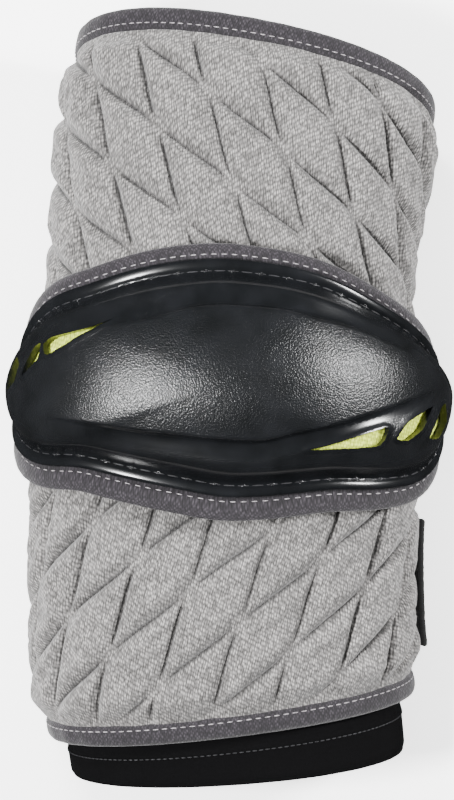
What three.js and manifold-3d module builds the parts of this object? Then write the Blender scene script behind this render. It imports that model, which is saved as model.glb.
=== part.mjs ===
// A lacrosse arm pad, lying on its back with the elbow cap on top.
//
// A stretch sleeve goes round the arm. Two quilted foam pads are sewn to its front, one above and one
// below the elbow, each with a bound edge. A moulded plastic cap with slanting vents is stitched over the
// elbow on a padded, bound rim, with a foam liner under it. A hook-and-loop strap closes the forearm.
//
// Every piece lies on one surface, the outside of the sleeve: surface(along, turn, out) is the point at a
// share `along` of the sleeve's length, turned `turn` radians from the front towards the right, and `out`
// millimetres off the sleeve. X is to the right, Y is up the arm, Z is up from the table. Millimetres.

import * as THREE from "three";
import { mergeVertices } from "three/addons/utils/BufferGeometryUtils.js";
import Module from "manifold-3d";

// Sleeve
const SLEEVE_LENGTH = 267;
const SLEEVE_WIDTH = 124; // outside, across the elbow as it lies
const SLEEVE_DEPTH = 66; // outside, from the table side to the front at the elbow
const SLEEVE_WALL = 2;
const HEM_HEIGHT = 13;
const HEM_FOLD = 0.8; // the second layer of cloth in the hem
const SLEEVE_COLUMNS = 36;
const GAP = 0.4; // clearance between pieces that are sewn or glued face to face

// Quilted pads
const PAD_THICKNESS = 13;
const PAD_EDGE = 5.5; // thickness where the foam meets its binding
const PAD_ROLL = 13; // width over which the foam thins to that edge
const SEAM_DEPTH = 5;
const SEAM_SHOULDER = 6.5; // half width of the dip that a seam makes
const STEEP_PITCH = 24.1; // the steep seams, across the pad
const SLANT_PITCH = 25.8; // the slanting seams, along the pad
const STEEP_LEAN = 0.375; // sideways run of a steep seam for each millimetre along
const SLANT_RISE = 0.6; // run along of a slanting seam for each millimetre across
const SEAM_SWAY = 0.012; // how far the seams bend towards each other where they cross, in pitches
const CELL_SPLITS = [0, 0.16, 0.5, 0.84]; // where one lozenge's faces break, from seam to seam
const ELBOW_SPLIT = 4; // open hinge line between the two pads, hidden by the cap

// Bindings
const BINDING_WIDTH = 8.5;
const BINDING_THICKNESS = 6.2;

// Elbow cap
const CAP_HEIGHT = 78; // along the arm, edge to edge of the plastic
const CAP_TURN = 92; // degrees that it reaches round the arm on each side
const CAP_WALL = 2.4;
const CAP_DOME = 17; // rise of the dome over its flange
const CAP_CREASE = 1.8; // depth of the two creases along the dome
const CREASE_AT = { upper: 0.74, lower: 0.56 }; // as shares of the way from the crown to the groove
const CREASE_HALF = 0.08;
const FLANGE_WIDTH = 5; // flat plastic outside the stitched groove
const RIM_WIDTH = { upper: 5, lower: 8 }; // of the padded, bound rim that shows round the flange
const RIM_THICKNESS = 3.6;
const RIM_END_LIFT = 1.5; // extra thickness of the rim at its two ends
const LINER_CLEARANCE = 1; // between the foam and the inside of the dome

// Fullness of the cap's plan, one row for each share of its reach from the left end to the right end.
// upper and lower scale the edge nearer the shoulder and the edge nearer the wrist.
const CAP_PLAN = [
  { reach: -1, upper: 1.2, lower: 1.3 },
  { reach: -0.75, upper: 1.19, lower: 1.13 },
  { reach: -0.5, upper: 1.06, lower: 0.86 },
  { reach: -0.2, upper: 1.07, lower: 0.9 },
  { reach: 0, upper: 1.07, lower: 0.97 },
  { reach: 0.35, upper: 1.12, lower: 1.06 },
  { reach: 0.6, upper: 1.07, lower: 1.36 },
  { reach: 0.8, upper: 1.08, lower: 1.7 },
  { reach: 1, upper: 1.1, lower: 1.75 },
];
// Corners of the vents at the cap's two ends, as shares of the dome's reach and rise from its crown.
const VENTS = [
  { name: "left_long", corners: [[-0.62, 0.24], [-0.64, 0.37], [-0.61, 0.43], [-0.47, 0.5], [-0.37, 0.62]] },
  { name: "left_middle", corners: [[-0.73, 0.06], [-0.72, 0.16], [-0.68, 0.35], [-0.65, 0.39], [-0.65, 0.23]] },
  { name: "left_end", corners: [[-0.83, -0.06], [-0.83, 0.1], [-0.78, 0.28], [-0.75, 0.2], [-0.77, 0.02]] },
  { name: "right_long", corners: [[0.25, -0.65], [0.32, -0.61], [0.53, -0.38], [0.5, -0.62]] },
  { name: "right_middle", corners: [[0.55, -0.54], [0.59, -0.35], [0.71, -0.14], [0.66, -0.43], [0.6, -0.56]] },
  { name: "right_end", corners: [[0.69, -0.54], [0.75, -0.18], [0.78, -0.11], [0.8, -0.34], [0.75, -0.54]] },
];

// Forearm strap
const STRAP_WIDTH = 57;
const STRAP_THICKNESS = 2.6;

// Where pieces start and end, as shares of the sleeve's length from its wrist end
const LOWER_PAD_START = 0.07;
const ELBOW_AT = 0.54;
const CAP_AT = 0.535;
const UPPER_PAD_END = 1;
const STRAP_AT = 0.225;

// How far pieces reach round the arm, in degrees from the front, towards the left and the right
const UPPER_PAD_REACH = { left: -102, right: 120 };
const LOWER_PAD_REACH = { left: -118, right: 99 };

// One row for each section of the sleeve, from the wrist to the upper arm. width, aside and depth are
// shares of the sleeve's width and depth at the elbow. slope is the drop of the section's plane across
// the arm and lean its tilt from back to front. lift is a share of the strap's thickness that raises the
// sleeve off the table.
const SECTIONS = [
  { along: 0, width: 1.045, depth: 0.8, aside: 0.016, slope: 0.069, lean: -0.25, lift: 1 },
  { along: 0.07, width: 1.045, depth: 0.86, aside: 0, slope: 0.133, lean: -0.166, lift: 1 },
  { along: 0.121, width: 1.035, depth: 0.89, aside: -0.025, slope: 0.12, lean: -0.15, lift: 1 },
  { along: 0.293, width: 1.035, depth: 0.96, aside: -0.034, slope: 0.06, lean: -0.08, lift: 1 },
  { along: 0.54, width: 0.985, depth: 1, aside: -0.012, slope: -0.02, lean: 0.04, lift: 0.7 },
  { along: 0.723, width: 0.97, depth: 0.98, aside: -0.008, slope: -0.08, lean: 0.18, lift: 0.15 },
  { along: 0.813, width: 0.975, depth: 0.95, aside: 0.018, slope: -0.12, lean: 0.27, lift: 0 },
  { along: 1, width: 0.985, depth: 0.87, aside: 0.078, slope: -0.19, lean: 0.45, lift: 0 },
];

// Rings of the sleeve above its hem, as shares of its length, crowded where its shape changes most.
const SLEEVE_ROWS = [0.08, 0.1, 0.121, 0.14, 0.18, 0.25, 0.34, 0.44, 0.54, 0.64, 0.73, 0.82, 0.91, 1];

const WIDEST_AT = 0.42; // height of the sleeve's widest line, as a share of its depth
const FRONT_ROUNDNESS = 2.15; // exponent of the section's front half, where 2 is an ellipse
const BACK_ROUNDNESS = 3; // and of its back half, which lies flattened

const DEGREE = Math.PI / 180;
const wasm = await Module();
wasm.setup();

// A smooth curve through a table's column that never overshoots its rows (monotone cubic). Past the
// first and last rows it runs on straight.
function columnCurve(rows, column, key = "along") {
  const x = rows.map((row) => row[key]);
  const y = rows.map((row) => row[column]);
  const last = x.length - 1;
  const secant = x.slice(1).map((_, i) => (y[i + 1] - y[i]) / (x[i + 1] - x[i]));
  const tangent = y.map((_, i) => {
    if (i === 0) return secant[0];
    if (i === last) return secant[last - 1];
    const before = secant[i - 1];
    const after = secant[i];
    return before * after <= 0 ? 0 : (2 * before * after) / (before + after);
  });
  return (at) => {
    if (at < x[0]) return y[0] + tangent[0] * (at - x[0]);
    if (at > x[last]) return y[last] + tangent[last] * (at - x[last]);
    let i = 0;
    while (i < last - 1 && at > x[i + 1]) i += 1;
    const span = x[i + 1] - x[i];
    const s = (at - x[i]) / span;
    const risen = s * s * (3 - 2 * s);
    const bend = tangent[i] * s * (1 - s) ** 2 - tangent[i + 1] * s * s * (1 - s);
    return y[i] + (y[i + 1] - y[i]) * risen + bend * span;
  };
}

const section = Object.fromEntries(
  ["width", "depth", "aside", "slope", "lean", "lift"].map((name) => [name, columnCurve(SECTIONS, name)]),
);

function smoothstep(low, high, value) {
  const s = Math.min(1, Math.max(0, (value - low) / (high - low)));
  return s * s * (3 - 2 * s);
}

// The point of the section's outline at a turn from the front, moved out along the outline's normal.
function outline(along, turn, out) {
  const half = (SLEEVE_WIDTH / 2) * section.width(along);
  const depth = SLEEVE_DEPTH * section.depth(along);
  const side = Math.sin(turn);
  const front = Math.cos(turn);
  const isFront = front >= 0;
  const n = isFront ? FRONT_ROUNDNESS : BACK_ROUNDNESS;
  const reach = isFront ? depth * (1 - WIDEST_AT) : depth * WIDEST_AT;
  const sx = Math.sign(side) * Math.abs(side) ** (2 / n);
  const sz = Math.sign(front) * Math.abs(front) ** (2 / n);
  const nx = Math.sign(sx) * Math.abs(sx) ** (n - 1) / half;
  const nz = Math.sign(sz) * Math.abs(sz) ** (n - 1) / reach;
  const size = Math.hypot(nx, nz);
  return { x: sx * half + (nx / size) * out, z: sz * reach + (nz / size) * out, widest: depth * WIDEST_AT };
}

function surface(along, turn, out) {
  const flat = outline(along, turn, out);
  const lift = section.lift(along) * (STRAP_THICKNESS + GAP);
  return new THREE.Vector3(
    flat.x + section.aside(along) * SLEEVE_WIDTH,
    (along - 0.5) * SLEEVE_LENGTH + section.slope(along) * flat.x + section.lean(along) * flat.z,
    flat.z + flat.widest + lift,
  );
}

// Millimetres round the pads' face from the front, at the elbow, for each turn up to the back.
const ARC_STEPS = 720;
const ARC = [0];
for (let i = 1; i <= ARC_STEPS; i += 1) {
  const a = outline(ELBOW_AT, ((i - 1) / ARC_STEPS) * Math.PI, PAD_THICKNESS);
  const b = outline(ELBOW_AT, (i / ARC_STEPS) * Math.PI, PAD_THICKNESS);
  ARC.push(ARC[i - 1] + Math.hypot(b.x - a.x, b.z - a.z));
}

function roundOf(turn) {
  const at = (Math.abs(turn) / Math.PI) * ARC_STEPS;
  const i = Math.min(ARC_STEPS - 1, Math.floor(at));
  return Math.sign(turn) * (ARC[i] + (ARC[i + 1] - ARC[i]) * (at - i));
}

function turnOf(round) {
  const length = Math.abs(round);
  let i = 0;
  while (i < ARC_STEPS - 1 && ARC[i + 1] < length) i += 1;
  const share = (length - ARC[i]) / (ARC[i + 1] - ARC[i]);
  return (Math.sign(round) * (i + share) * Math.PI) / ARC_STEPS;
}

// A geometry from points and triangles, with equal points merged.
function geometryOf(points, triangles) {
  const positions = new Float32Array(points.flatMap((p) => [p.x, p.y, p.z]));
  const geometry = new THREE.BufferGeometry();
  geometry.setAttribute("position", new THREE.BufferAttribute(positions, 3));
  geometry.setIndex(triangles);
  return geometry;
}

// A closed sheet with thickness: point(i, j, face) gives face 0 (inside) and face 1 (outside) of a grid.
// Closed round the first direction it is a tube or ring. slant picks the diagonal of each cell.
function sheetGeometry({ across, down, point, closed = false, slant = false }) {
  const columns = closed ? across : across + 1;
  const points = [];
  for (const face of [0, 1])
    for (let j = 0; j <= down; j += 1)
      for (let i = 0; i < columns; i += 1) points.push(point(i / across, j / down, face));
  const id = (i, j, face) => face * columns * (down + 1) + j * columns + (i % columns);
  const triangles = [];
  const quad = (a, b, c, d, other = false) =>
    other ? triangles.push(a, b, d, b, c, d) : triangles.push(a, b, c, a, c, d);
  for (let j = 0; j < down; j += 1)
    for (let i = 0; i < across; i += 1) {
      quad(id(i, j, 1), id(i + 1, j, 1), id(i + 1, j + 1, 1), id(i, j + 1, 1), slant);
      quad(id(i, j, 0), id(i, j + 1, 0), id(i + 1, j + 1, 0), id(i + 1, j, 0));
    }
  for (let i = 0; i < across; i += 1) {
    quad(id(i, 0, 0), id(i + 1, 0, 0), id(i + 1, 0, 1), id(i, 0, 1));
    quad(id(i, down, 1), id(i + 1, down, 1), id(i + 1, down, 0), id(i, down, 0));
  }
  if (!closed)
    for (let j = 0; j < down; j += 1) {
      quad(id(0, j, 0), id(0, j, 1), id(0, j + 1, 1), id(0, j + 1, 0));
      quad(id(across, j, 0), id(across, j + 1, 0), id(across, j + 1, 1), id(across, j, 1));
    }
  return geometryOf(points, triangles);
}

// A closed dish on a polar grid: point(angle, radius, face), with the radii from a list that starts at 0.
function dishGeometry({ spokes, radii, point }) {
  const points = [];
  for (const face of [0, 1])
    for (const radius of radii)
      for (let i = 0; i < (radius === 0 ? 1 : spokes); i += 1)
        points.push(point((i / spokes) * 2 * Math.PI, radius, face));
  const perFace = 1 + (radii.length - 1) * spokes;
  const id = (i, ring, face) => face * perFace + (ring === 0 ? 0 : 1 + (ring - 1) * spokes + (i % spokes));
  const triangles = [];
  const last = radii.length - 1;
  for (let i = 0; i < spokes; i += 1) {
    triangles.push(id(0, 0, 1), id(i, 1, 1), id(i + 1, 1, 1));
    triangles.push(id(0, 0, 0), id(i + 1, 1, 0), id(i, 1, 0));
    for (let ring = 1; ring < last; ring += 1) {
      const [a, b, c, d] = [id(i, ring, 1), id(i, ring + 1, 1), id(i + 1, ring + 1, 1), id(i + 1, ring, 1)];
      triangles.push(a, b, c, a, c, d);
      const [e, f, g, h] = [id(i, ring, 0), id(i + 1, ring, 0), id(i + 1, ring + 1, 0), id(i, ring + 1, 0)];
      triangles.push(e, f, g, e, g, h);
    }
    const [a, b, c, d] = [id(i, last, 1), id(i, last, 0), id(i + 1, last, 0), id(i + 1, last, 1)];
    triangles.push(a, b, c, a, c, d);
  }
  return geometryOf(points, triangles);
}

// Between three.js geometries and manifold-3d solids.
function solidOf(geometry) {
  const merged = mergeVertices(geometry, 1e-4);
  const mesh = new wasm.Mesh({
    numProp: 3,
    vertProperties: merged.attributes.position.array,
    triVerts: new Uint32Array(merged.index.array),
  });
  const solid = new wasm.Manifold(mesh);
  if (solid.volume() > 0) return solid;
  mesh.triVerts.reverse();
  return new wasm.Manifold(mesh);
}

function geometryFrom(solid) {
  const mesh = solid.getMesh();
  const geometry = new THREE.BufferGeometry();
  geometry.setAttribute("position", new THREE.BufferAttribute(new Float32Array(mesh.vertProperties), 3));
  geometry.setIndex(new THREE.BufferAttribute(new Uint32Array(mesh.triVerts), 1));
  return geometry;
}

const lengthToShare = (length) => length / SLEEVE_LENGTH;

// Millimetres across and along from a crossing, for a place in the lattice of seams: whole values of p are
// steep seams and whole values of q slanting ones. hand is 1 on the upper pad, -1 on the mirrored lower pad.
function latticePlace(p, q, hand) {
  let steep = p;
  let slanting = q;
  for (let i = 0; i < 12; i += 1) {
    steep = p - SEAM_SWAY * Math.sin(2 * Math.PI * slanting);
    slanting = q - SEAM_SWAY * Math.sin(2 * Math.PI * steep);
  }
  const x = (STEEP_PITCH * steep - STEEP_LEAN * SLANT_PITCH * slanting) / (1 - STEEP_LEAN * SLANT_RISE);
  return { x, y: hand * (SLANT_PITCH * slanting - SLANT_RISE * x) };
}

// How far the face dips below the pillows at a place in the lattice, 1 in a seam.
function seamDip(p, q) {
  const rise = (value, width) => {
    const distance = Math.abs(value - Math.round(value)) * width;
    return 1 - Math.max(0, 1 - distance / SEAM_SHOULDER) ** 2;
  };
  const steepWidth = STEEP_PITCH / Math.hypot(1, STEEP_LEAN);
  const slantWidth = SLANT_PITCH / Math.hypot(1, SLANT_RISE);
  return 1 - rise(p, steepWidth) * rise(q, slantWidth);
}

// A slab of whole lozenges that covers a pad's area and more, its faces breaking along the seams.
function quiltSlab({ from, to, left, right, crossing, hand }) {
  const cells = 14;
  const splits = CELL_SPLITS.length;
  const margin = 9;
  const index = new Map();
  const points = [];
  const places = new Map();
  const latticeOf = (k) => Math.floor(k / splits) - cells + CELL_SPLITS[k % splits];
  const placeOf = (u, v) => {
    const key = `${u},${v}`;
    if (!places.has(key)) {
      const { x, y } = latticePlace(latticeOf(u), latticeOf(v), hand);
      places.set(key, { round: x + crossing.round, along: crossing.along + lengthToShare(y) });
    }
    return places.get(key);
  };
  const isNear = ({ round, along }) =>
    round > left - margin && round < right + margin &&
    along > from - lengthToShare(margin) && along < to + lengthToShare(margin);
  const indexOf = (u, v) => {
    const key = `${u},${v}`;
    if (!index.has(key)) {
      const { round, along } = placeOf(u, v);
      const out = PAD_THICKNESS - SEAM_DEPTH * seamDip(latticeOf(u), latticeOf(v));
      index.set(key, points.length);
      points.push(surface(along, turnOf(round), out), surface(along, turnOf(round), -GAP));
    }
    return index.get(key);
  };
  const triangles = [];
  const edges = new Map();
  for (let cellV = 0; cellV < 2 * cells; cellV += 1)
    for (let cellU = 0; cellU < 2 * cells; cellU += 1) {
      const us = [0, 1, 2, 3, 4].map((k) => cellU * splits + k);
      const vs = [0, 1, 2, 3, 4].map((k) => cellV * splits + k);
      if (!us.some((u) => vs.some((v) => isNear(placeOf(u, v))))) continue;
      for (let j = 0; j < splits; j += 1)
        for (let i = 0; i < splits; i += 1) {
          const [a, b] = [indexOf(us[i], vs[j]), indexOf(us[i + 1], vs[j])];
          const [c, d] = [indexOf(us[i + 1], vs[j + 1]), indexOf(us[i], vs[j + 1])];
          const towardsCentre = i < splits / 2 === j < splits / 2;
          if (towardsCentre) triangles.push(a, b, c, a, c, d, a + 1, c + 1, b + 1, a + 1, d + 1, c + 1);
          else triangles.push(a, b, d, b, c, d, a + 1, d + 1, b + 1, b + 1, d + 1, c + 1);
          for (const [s, t] of [[a, b], [b, c], [c, d], [d, a]]) edges.set(`${s},${t}`, [s, t]);
        }
    }
  for (const [s, t] of edges.values())
    if (!edges.has(`${t},${s}`)) triangles.push(s, s + 1, t + 1, s, t + 1, t);
  return solidOf(geometryOf(points, triangles));
}

// Stops along a length, close together where a pad's edge rolls down at either end.
function rollStops(length, steps, rollsFirst, rollsLast) {
  const roll = [0, 0.25, 0.6, 1].map((share) => share * PAD_ROLL);
  const first = rollsFirst ? roll : [0];
  const last = rollsLast ? roll.map((stop) => length - stop).reverse() : [length];
  const start = first[first.length - 1];
  const end = last[0];
  const between = [];
  for (let i = 1; i < steps; i += 1) between.push(start + ((end - start) * i) / steps);
  return [...first, ...between, ...last];
}

// A pad's whole outline as a smooth slab with rolled edges, a little proud of its pillows in the middle.
function padEnvelope({ from, to, left, right, hand }) {
  const columns = rollStops(right - left, 20, true, true);
  const length = (to - from) * SLEEVE_LENGTH;
  const rows = rollStops(length, 4, hand < 0, hand > 0);
  const proud = PAD_THICKNESS + 1.5;
  return solidOf(sheetGeometry({
    across: columns.length - 1,
    down: rows.length - 1,
    point: (i, j, face) => {
      const column = columns[Math.round(i * (columns.length - 1))];
      const row = rows[Math.round(j * (rows.length - 1))];
      const toSide = Math.min(column, right - left - column);
      const toEnd = hand > 0 ? length - row : row;
      const loft = Math.min(smoothstep(-1, PAD_ROLL, toEnd), smoothstep(-1, PAD_ROLL, toSide));
      const top = GAP + PAD_EDGE + (proud - GAP - PAD_EDGE) * loft;
      return surface(from + lengthToShare(row), turnOf(left + column), face ? top : GAP);
    },
  }));
}

// A quilted pad between two shares of the sleeve, reaching round it from the left to the right. crossing
// is one point where two of its seams cross, as a share along and millimetres round.
function quiltedPad({ from, to, reach, crossing, hand }) {
  const left = roundOf(reach.left * DEGREE);
  const right = roundOf(reach.right * DEGREE);
  const slab = quiltSlab({ from, to, left, right, crossing, hand });
  return geometryFrom(slab.intersect(padEnvelope({ from, to, left, right, hand })));
}

// A binding along a pad's outer end and down both its sides: three overlapping bands made one.
function padBinding({ from, to, reach, end }) {
  const sideTurn = (BINDING_WIDTH / roundOf(Math.PI)) * Math.PI * 0.8;
  const [near, far] = [reach.left * DEGREE, reach.right * DEGREE];
  const band = (alongFrom, alongTo, turnFrom, turnTo, across, down) =>
    solidOf(sheetGeometry({
      across,
      down,
      point: (i, j, face) => {
        const along = alongFrom + (alongTo - alongFrom) * j;
        const crown = Math.sin(Math.PI * (down > 4 ? i : j)) * 0.8;
        return surface(along, turnFrom + (turnTo - turnFrom) * i, face ? BINDING_THICKNESS + crown : GAP);
      },
    }));
  const endBand = end > from
    ? band(end - lengthToShare(BINDING_WIDTH), end, near - sideTurn, far + sideTurn, 28, 2)
    : band(end, end + lengthToShare(BINDING_WIDTH), near - sideTurn, far + sideTurn, 28, 2);
  const sides = [
    band(from, to, near - sideTurn, near - GAP / SLEEVE_WIDTH * 4, 2, 7),
    band(from, to, far + GAP / SLEEVE_WIDTH * 4, far + sideTurn, 2, 7),
  ];
  return geometryFrom(endBand.add(sides[0]).add(sides[1]));
}

// The cap's plan is a rounded lozenge in millimetres round and along the arm. radius 1 is the stitched
// groove where the dome meets its flange, and widen moves a point out from there, square to the outline.
const PLAN_ROUNDNESS = 1.6;
const DOME_REACH = roundOf(CAP_TURN * DEGREE) - FLANGE_WIDTH;
const DOME_RISE = CAP_HEIGHT / 2 - FLANGE_WIDTH;
const fullness = {
  upper: columnCurve(CAP_PLAN, "upper", "reach"),
  lower: columnCurve(CAP_PLAN, "lower", "reach"),
};

function grooveAt(angle) {
  const c = Math.cos(angle);
  const s = Math.sin(angle);
  const size = (Math.abs(c) ** PLAN_ROUNDNESS + Math.abs(s) ** PLAN_ROUNDNESS) ** (1 / PLAN_ROUNDNESS);
  const full = s > 0 ? fullness.upper(c / size) : fullness.lower(c / size);
  return { round: (c * DOME_REACH) / size, rise: (s * DOME_RISE * full) / size };
}

function capPlan(angle, radius, widen = 0) {
  const groove = grooveAt(angle);
  const before = grooveAt(angle - 0.02);
  const after = grooveAt(angle + 0.02);
  const length = Math.hypot(after.round - before.round, after.rise - before.rise);
  return {
    round: radius * groove.round + (widen * (after.rise - before.rise)) / length,
    rise: radius * groove.rise - (widen * (after.round - before.round)) / length,
  };
}

const capPoint = ({ round, rise }, out) => surface(CAP_AT + lengthToShare(rise), turnOf(round), out);

// How far off the sleeve the flange's underside lies, higher towards the cap's two ends.
const endLift = ({ round }) => RIM_END_LIFT * Math.min(1.2, (round / DOME_REACH) ** 2) ** 2;
const seatAt = (plan) => PAD_THICKNESS + GAP + RIM_THICKNESS + GAP + endLift(plan);

// The dome and its liner share these spokes and rings, so that one lies evenly inside the other. The
// rings bend with the angle so that one of them follows the creases.
const CAP_SPOKES = 34;
const CREASE_MIDDLE = (CREASE_AT.upper + CREASE_AT.lower) / 2;
const CREASE_SWING = (CREASE_AT.upper - CREASE_AT.lower) / 2;
const CREASE_RINGS = [CREASE_MIDDLE - CREASE_HALF, CREASE_MIDDLE, CREASE_MIDDLE + CREASE_HALF];
const DOME_RINGS = [0, 0.2, 0.4, ...CREASE_RINGS, 0.9];

function ringRadius(angle, ring) {
  const follow = Math.max(0, 1 - Math.abs(ring - CREASE_MIDDLE) / (0.95 - CREASE_MIDDLE));
  return ring + CREASE_SWING * Math.sin(angle) * follow;
}

// Rise of the dome's inner face over the flange at a plan radius and angle.
function domeRise(angle, radius) {
  const wall = smoothstep(1, 0.9, radius) * 0.28;
  const crown = radius < 1 ? 0.72 * (1 - radius ** 2) : 0;
  const fade = Math.abs(Math.sin(angle));
  const from = Math.abs(radius - CREASE_MIDDLE - CREASE_SWING * Math.sin(angle));
  const crease = Math.max(0, 1 - from / CREASE_HALF) * fade * CAP_CREASE;
  return CAP_DOME * (wall + crown) - crease;
}

function capShell() {
  return dishGeometry({
    spokes: CAP_SPOKES,
    radii: [...DOME_RINGS, 1, 1 + FLANGE_WIDTH],
    point: (angle, ring, face) => {
      const radius = ringRadius(angle, Math.min(1, ring));
      const plan = capPlan(angle, radius, Math.max(0, ring - 1));
      return capPoint(plan, seatAt(plan) + domeRise(angle, radius) + face * CAP_WALL);
    },
  });
}

// One vent's cutter, a prism from inside the liner to outside the dome.
function ventCutter(corners) {
  const inside = PAD_THICKNESS + RIM_THICKNESS / 2;
  const outside = PAD_THICKNESS + RIM_THICKNESS + RIM_END_LIFT + CAP_DOME + CAP_WALL;
  const at = ([round, rise], out) => capPoint({ round: round * DOME_REACH, rise: rise * DOME_RISE }, out);
  const points = [...corners.map((c) => at(c, inside)), ...corners.map((c) => at(c, outside))];
  const n = corners.length;
  const triangles = [];
  for (let i = 0; i < n; i += 1) {
    const next = (i + 1) % n;
    triangles.push(i, next, n + next, i, n + next, n + i);
    if (i > 0 && i < n - 1) triangles.push(0, i + 1, i, n, n + i, n + i + 1);
  }
  return solidOf(geometryOf(points, triangles));
}

function elbowCap() {
  let cap = solidOf(capShell());
  for (const { corners } of VENTS) cap = cap.subtract(ventCutter(corners));
  return geometryFrom(cap);
}

// The foam dome under the cap, from the pads' faces to just under the plastic.
function capLiner() {
  return dishGeometry({
    spokes: CAP_SPOKES,
    radii: DOME_RINGS,
    point: (angle, ring, face) => {
      const radius = ringRadius(angle, ring);
      const plan = capPlan(angle, radius);
      const under = seatAt(plan) + domeRise(angle, radius) - LINER_CLEARANCE;
      return capPoint(plan, face ? under : PAD_THICKNESS + 3 * GAP);
    },
  });
}

// The padded rim under the flange: a ring whose rounded outer edge is bound in cloth.
function capRim() {
  const spokes = CAP_SPOKES;
  const bottom = PAD_THICKNESS + GAP;
  const points = [];
  const n = 7;
  for (let i = 0; i < spokes; i += 1) {
    const angle = (i / spokes) * 2 * Math.PI;
    const width = (RIM_WIDTH.upper + RIM_WIDTH.lower - (RIM_WIDTH.lower - RIM_WIDTH.upper) * Math.sin(angle)) / 2;
    const outer = FLANGE_WIDTH + width;
    const thickness = (plan) => RIM_THICKNESS + endLift(plan);
    const profile = [
      { widen: 0, share: 0 },
      { widen: outer / 2, share: 0 },
      { widen: outer - 1.5, share: 0 },
      { widen: outer, share: 0.5 },
      { widen: outer - 1.5, share: 1 },
      { widen: FLANGE_WIDTH, share: 1 },
      { widen: 0, share: 1 },
    ];
    for (const { widen, share } of profile) {
      const plan = capPlan(angle, 1, widen);
      points.push(capPoint(plan, bottom + share * thickness(plan)));
    }
  }
  const triangles = [];
  for (let i = 0; i < spokes; i += 1)
    for (let k = 0; k < n; k += 1) {
      const [a, b] = [i * n + k, i * n + ((k + 1) % n)];
      const [c, d] = [((i + 1) % spokes) * n + ((k + 1) % n), ((i + 1) % spokes) * n + k];
      triangles.push(a, b, c, a, c, d);
    }
  return geometryFrom(solidOf(geometryOf(points, triangles)));
}

// The stretch sleeve, an open tube with a folded hem at the wrist.
function innerSleeve() {
  const hem = lengthToShare(HEM_HEIGHT);
  const rows = [0, hem, hem + 0.005, ...SLEEVE_ROWS];
  return sheetGeometry({
    across: SLEEVE_COLUMNS,
    down: rows.length - 1,
    closed: true,
    point: (i, j, face) => {
      const along = rows[Math.round(j * (rows.length - 1))];
      const fold = along <= hem ? HEM_FOLD : 0;
      return surface(along, turnOf((2 * i - 1) * roundOf(Math.PI)), face ? 0 : -SLEEVE_WALL - fold);
    },
  });
}

// The strap leaves the lower pad's right edge, bridges to the sleeve and crosses its back.
function forearmStrap() {
  const half = lengthToShare(STRAP_WIDTH) / 2;
  const start = (LOWER_PAD_REACH.right + 3) * DEGREE;
  const end = (360 + LOWER_PAD_REACH.left - 14) * DEGREE;
  const standOff = PAD_THICKNESS - 1.6;
  return sheetGeometry({
    across: 24,
    down: 2,
    point: (i, j, face) => {
      const turn = start + (end - start) * i;
      const off = GAP + standOff * (1 - smoothstep(start, start + 55 * DEGREE, turn));
      const clear = BINDING_THICKNESS + 1 + GAP;
      const over = turn < start + 12 * DEGREE ? Math.max(off, clear) : off;
      return surface(STRAP_AT - half + 2 * half * j, turn, over + face * STRAP_THICKNESS);
    },
  });
}

const cloth = (color, roughness) => new THREE.MeshStandardMaterial({ color, roughness, metalness: 0 });
const QUILTED_GREY = cloth(0xaaa8a8, 0.9);
const BINDING_GREY = cloth(0x4d4b50, 0.85);
const STRETCH_BLACK = cloth(0x17171a, 0.8);
const LOOP_BLACK = cloth(0x1c1c1d, 1);
const LINER_LIME = cloth(0xb9c94a, 0.9);
const CAP_BLACK = new THREE.MeshStandardMaterial({ color: 0x17181a, roughness: 0.38, metalness: 0 });

const pad = new THREE.Group();

function addPiece(name, geometry, material) {
  const mesh = new THREE.Mesh(geometry, material);
  mesh.name = name;
  pad.add(mesh);
}

const split = lengthToShare(ELBOW_SPLIT) / 2;
const bound = lengthToShare(BINDING_WIDTH + GAP);

addPiece("inner_sleeve", innerSleeve(), STRETCH_BLACK);
addPiece(
  "upper_pad",
  quiltedPad({
    from: ELBOW_AT + split,
    to: UPPER_PAD_END - bound,
    reach: UPPER_PAD_REACH,
    crossing: { along: 0.901, round: -19 },
    hand: 1,
  }),
  QUILTED_GREY,
);
addPiece(
  "lower_pad",
  quiltedPad({
    from: LOWER_PAD_START + bound,
    to: ELBOW_AT - split,
    reach: LOWER_PAD_REACH,
    crossing: { along: 0.219, round: 5.4 },
    hand: -1,
  }),
  QUILTED_GREY,
);
addPiece(
  "upper_binding",
  padBinding({ from: ELBOW_AT + split, to: UPPER_PAD_END, reach: UPPER_PAD_REACH, end: UPPER_PAD_END }),
  BINDING_GREY,
);
addPiece(
  "lower_binding",
  padBinding({ from: LOWER_PAD_START, to: ELBOW_AT - split, reach: LOWER_PAD_REACH, end: LOWER_PAD_START }),
  BINDING_GREY,
);
addPiece("cap_rim", capRim(), BINDING_GREY);
addPiece("cap_liner", capLiner(), LINER_LIME);
addPiece("elbow_cap", elbowCap(), CAP_BLACK);
addPiece("forearm_strap", forearmStrap(), LOOP_BLACK);

// The pad lies on the table: its box is centred over the origin and stands on Z = 0.
const box = new THREE.Box3().setFromObject(pad);
const middle = box.getCenter(new THREE.Vector3());
pad.position.set(-middle.x, -middle.y, -box.min.z);

export default pad;
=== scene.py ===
"""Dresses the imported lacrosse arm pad: quilted cloth, bound edges, moulded cap, knit sleeve and strap.

Every piece lies on one surface, the outside of the sleeve. A place on it is a share along the sleeve, a
turn round it from the front, and a height off it. Sizes are in millimetres; points leave in metres.
"""

from __future__ import annotations

import enum
import logging
from dataclasses import dataclass, field

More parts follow.
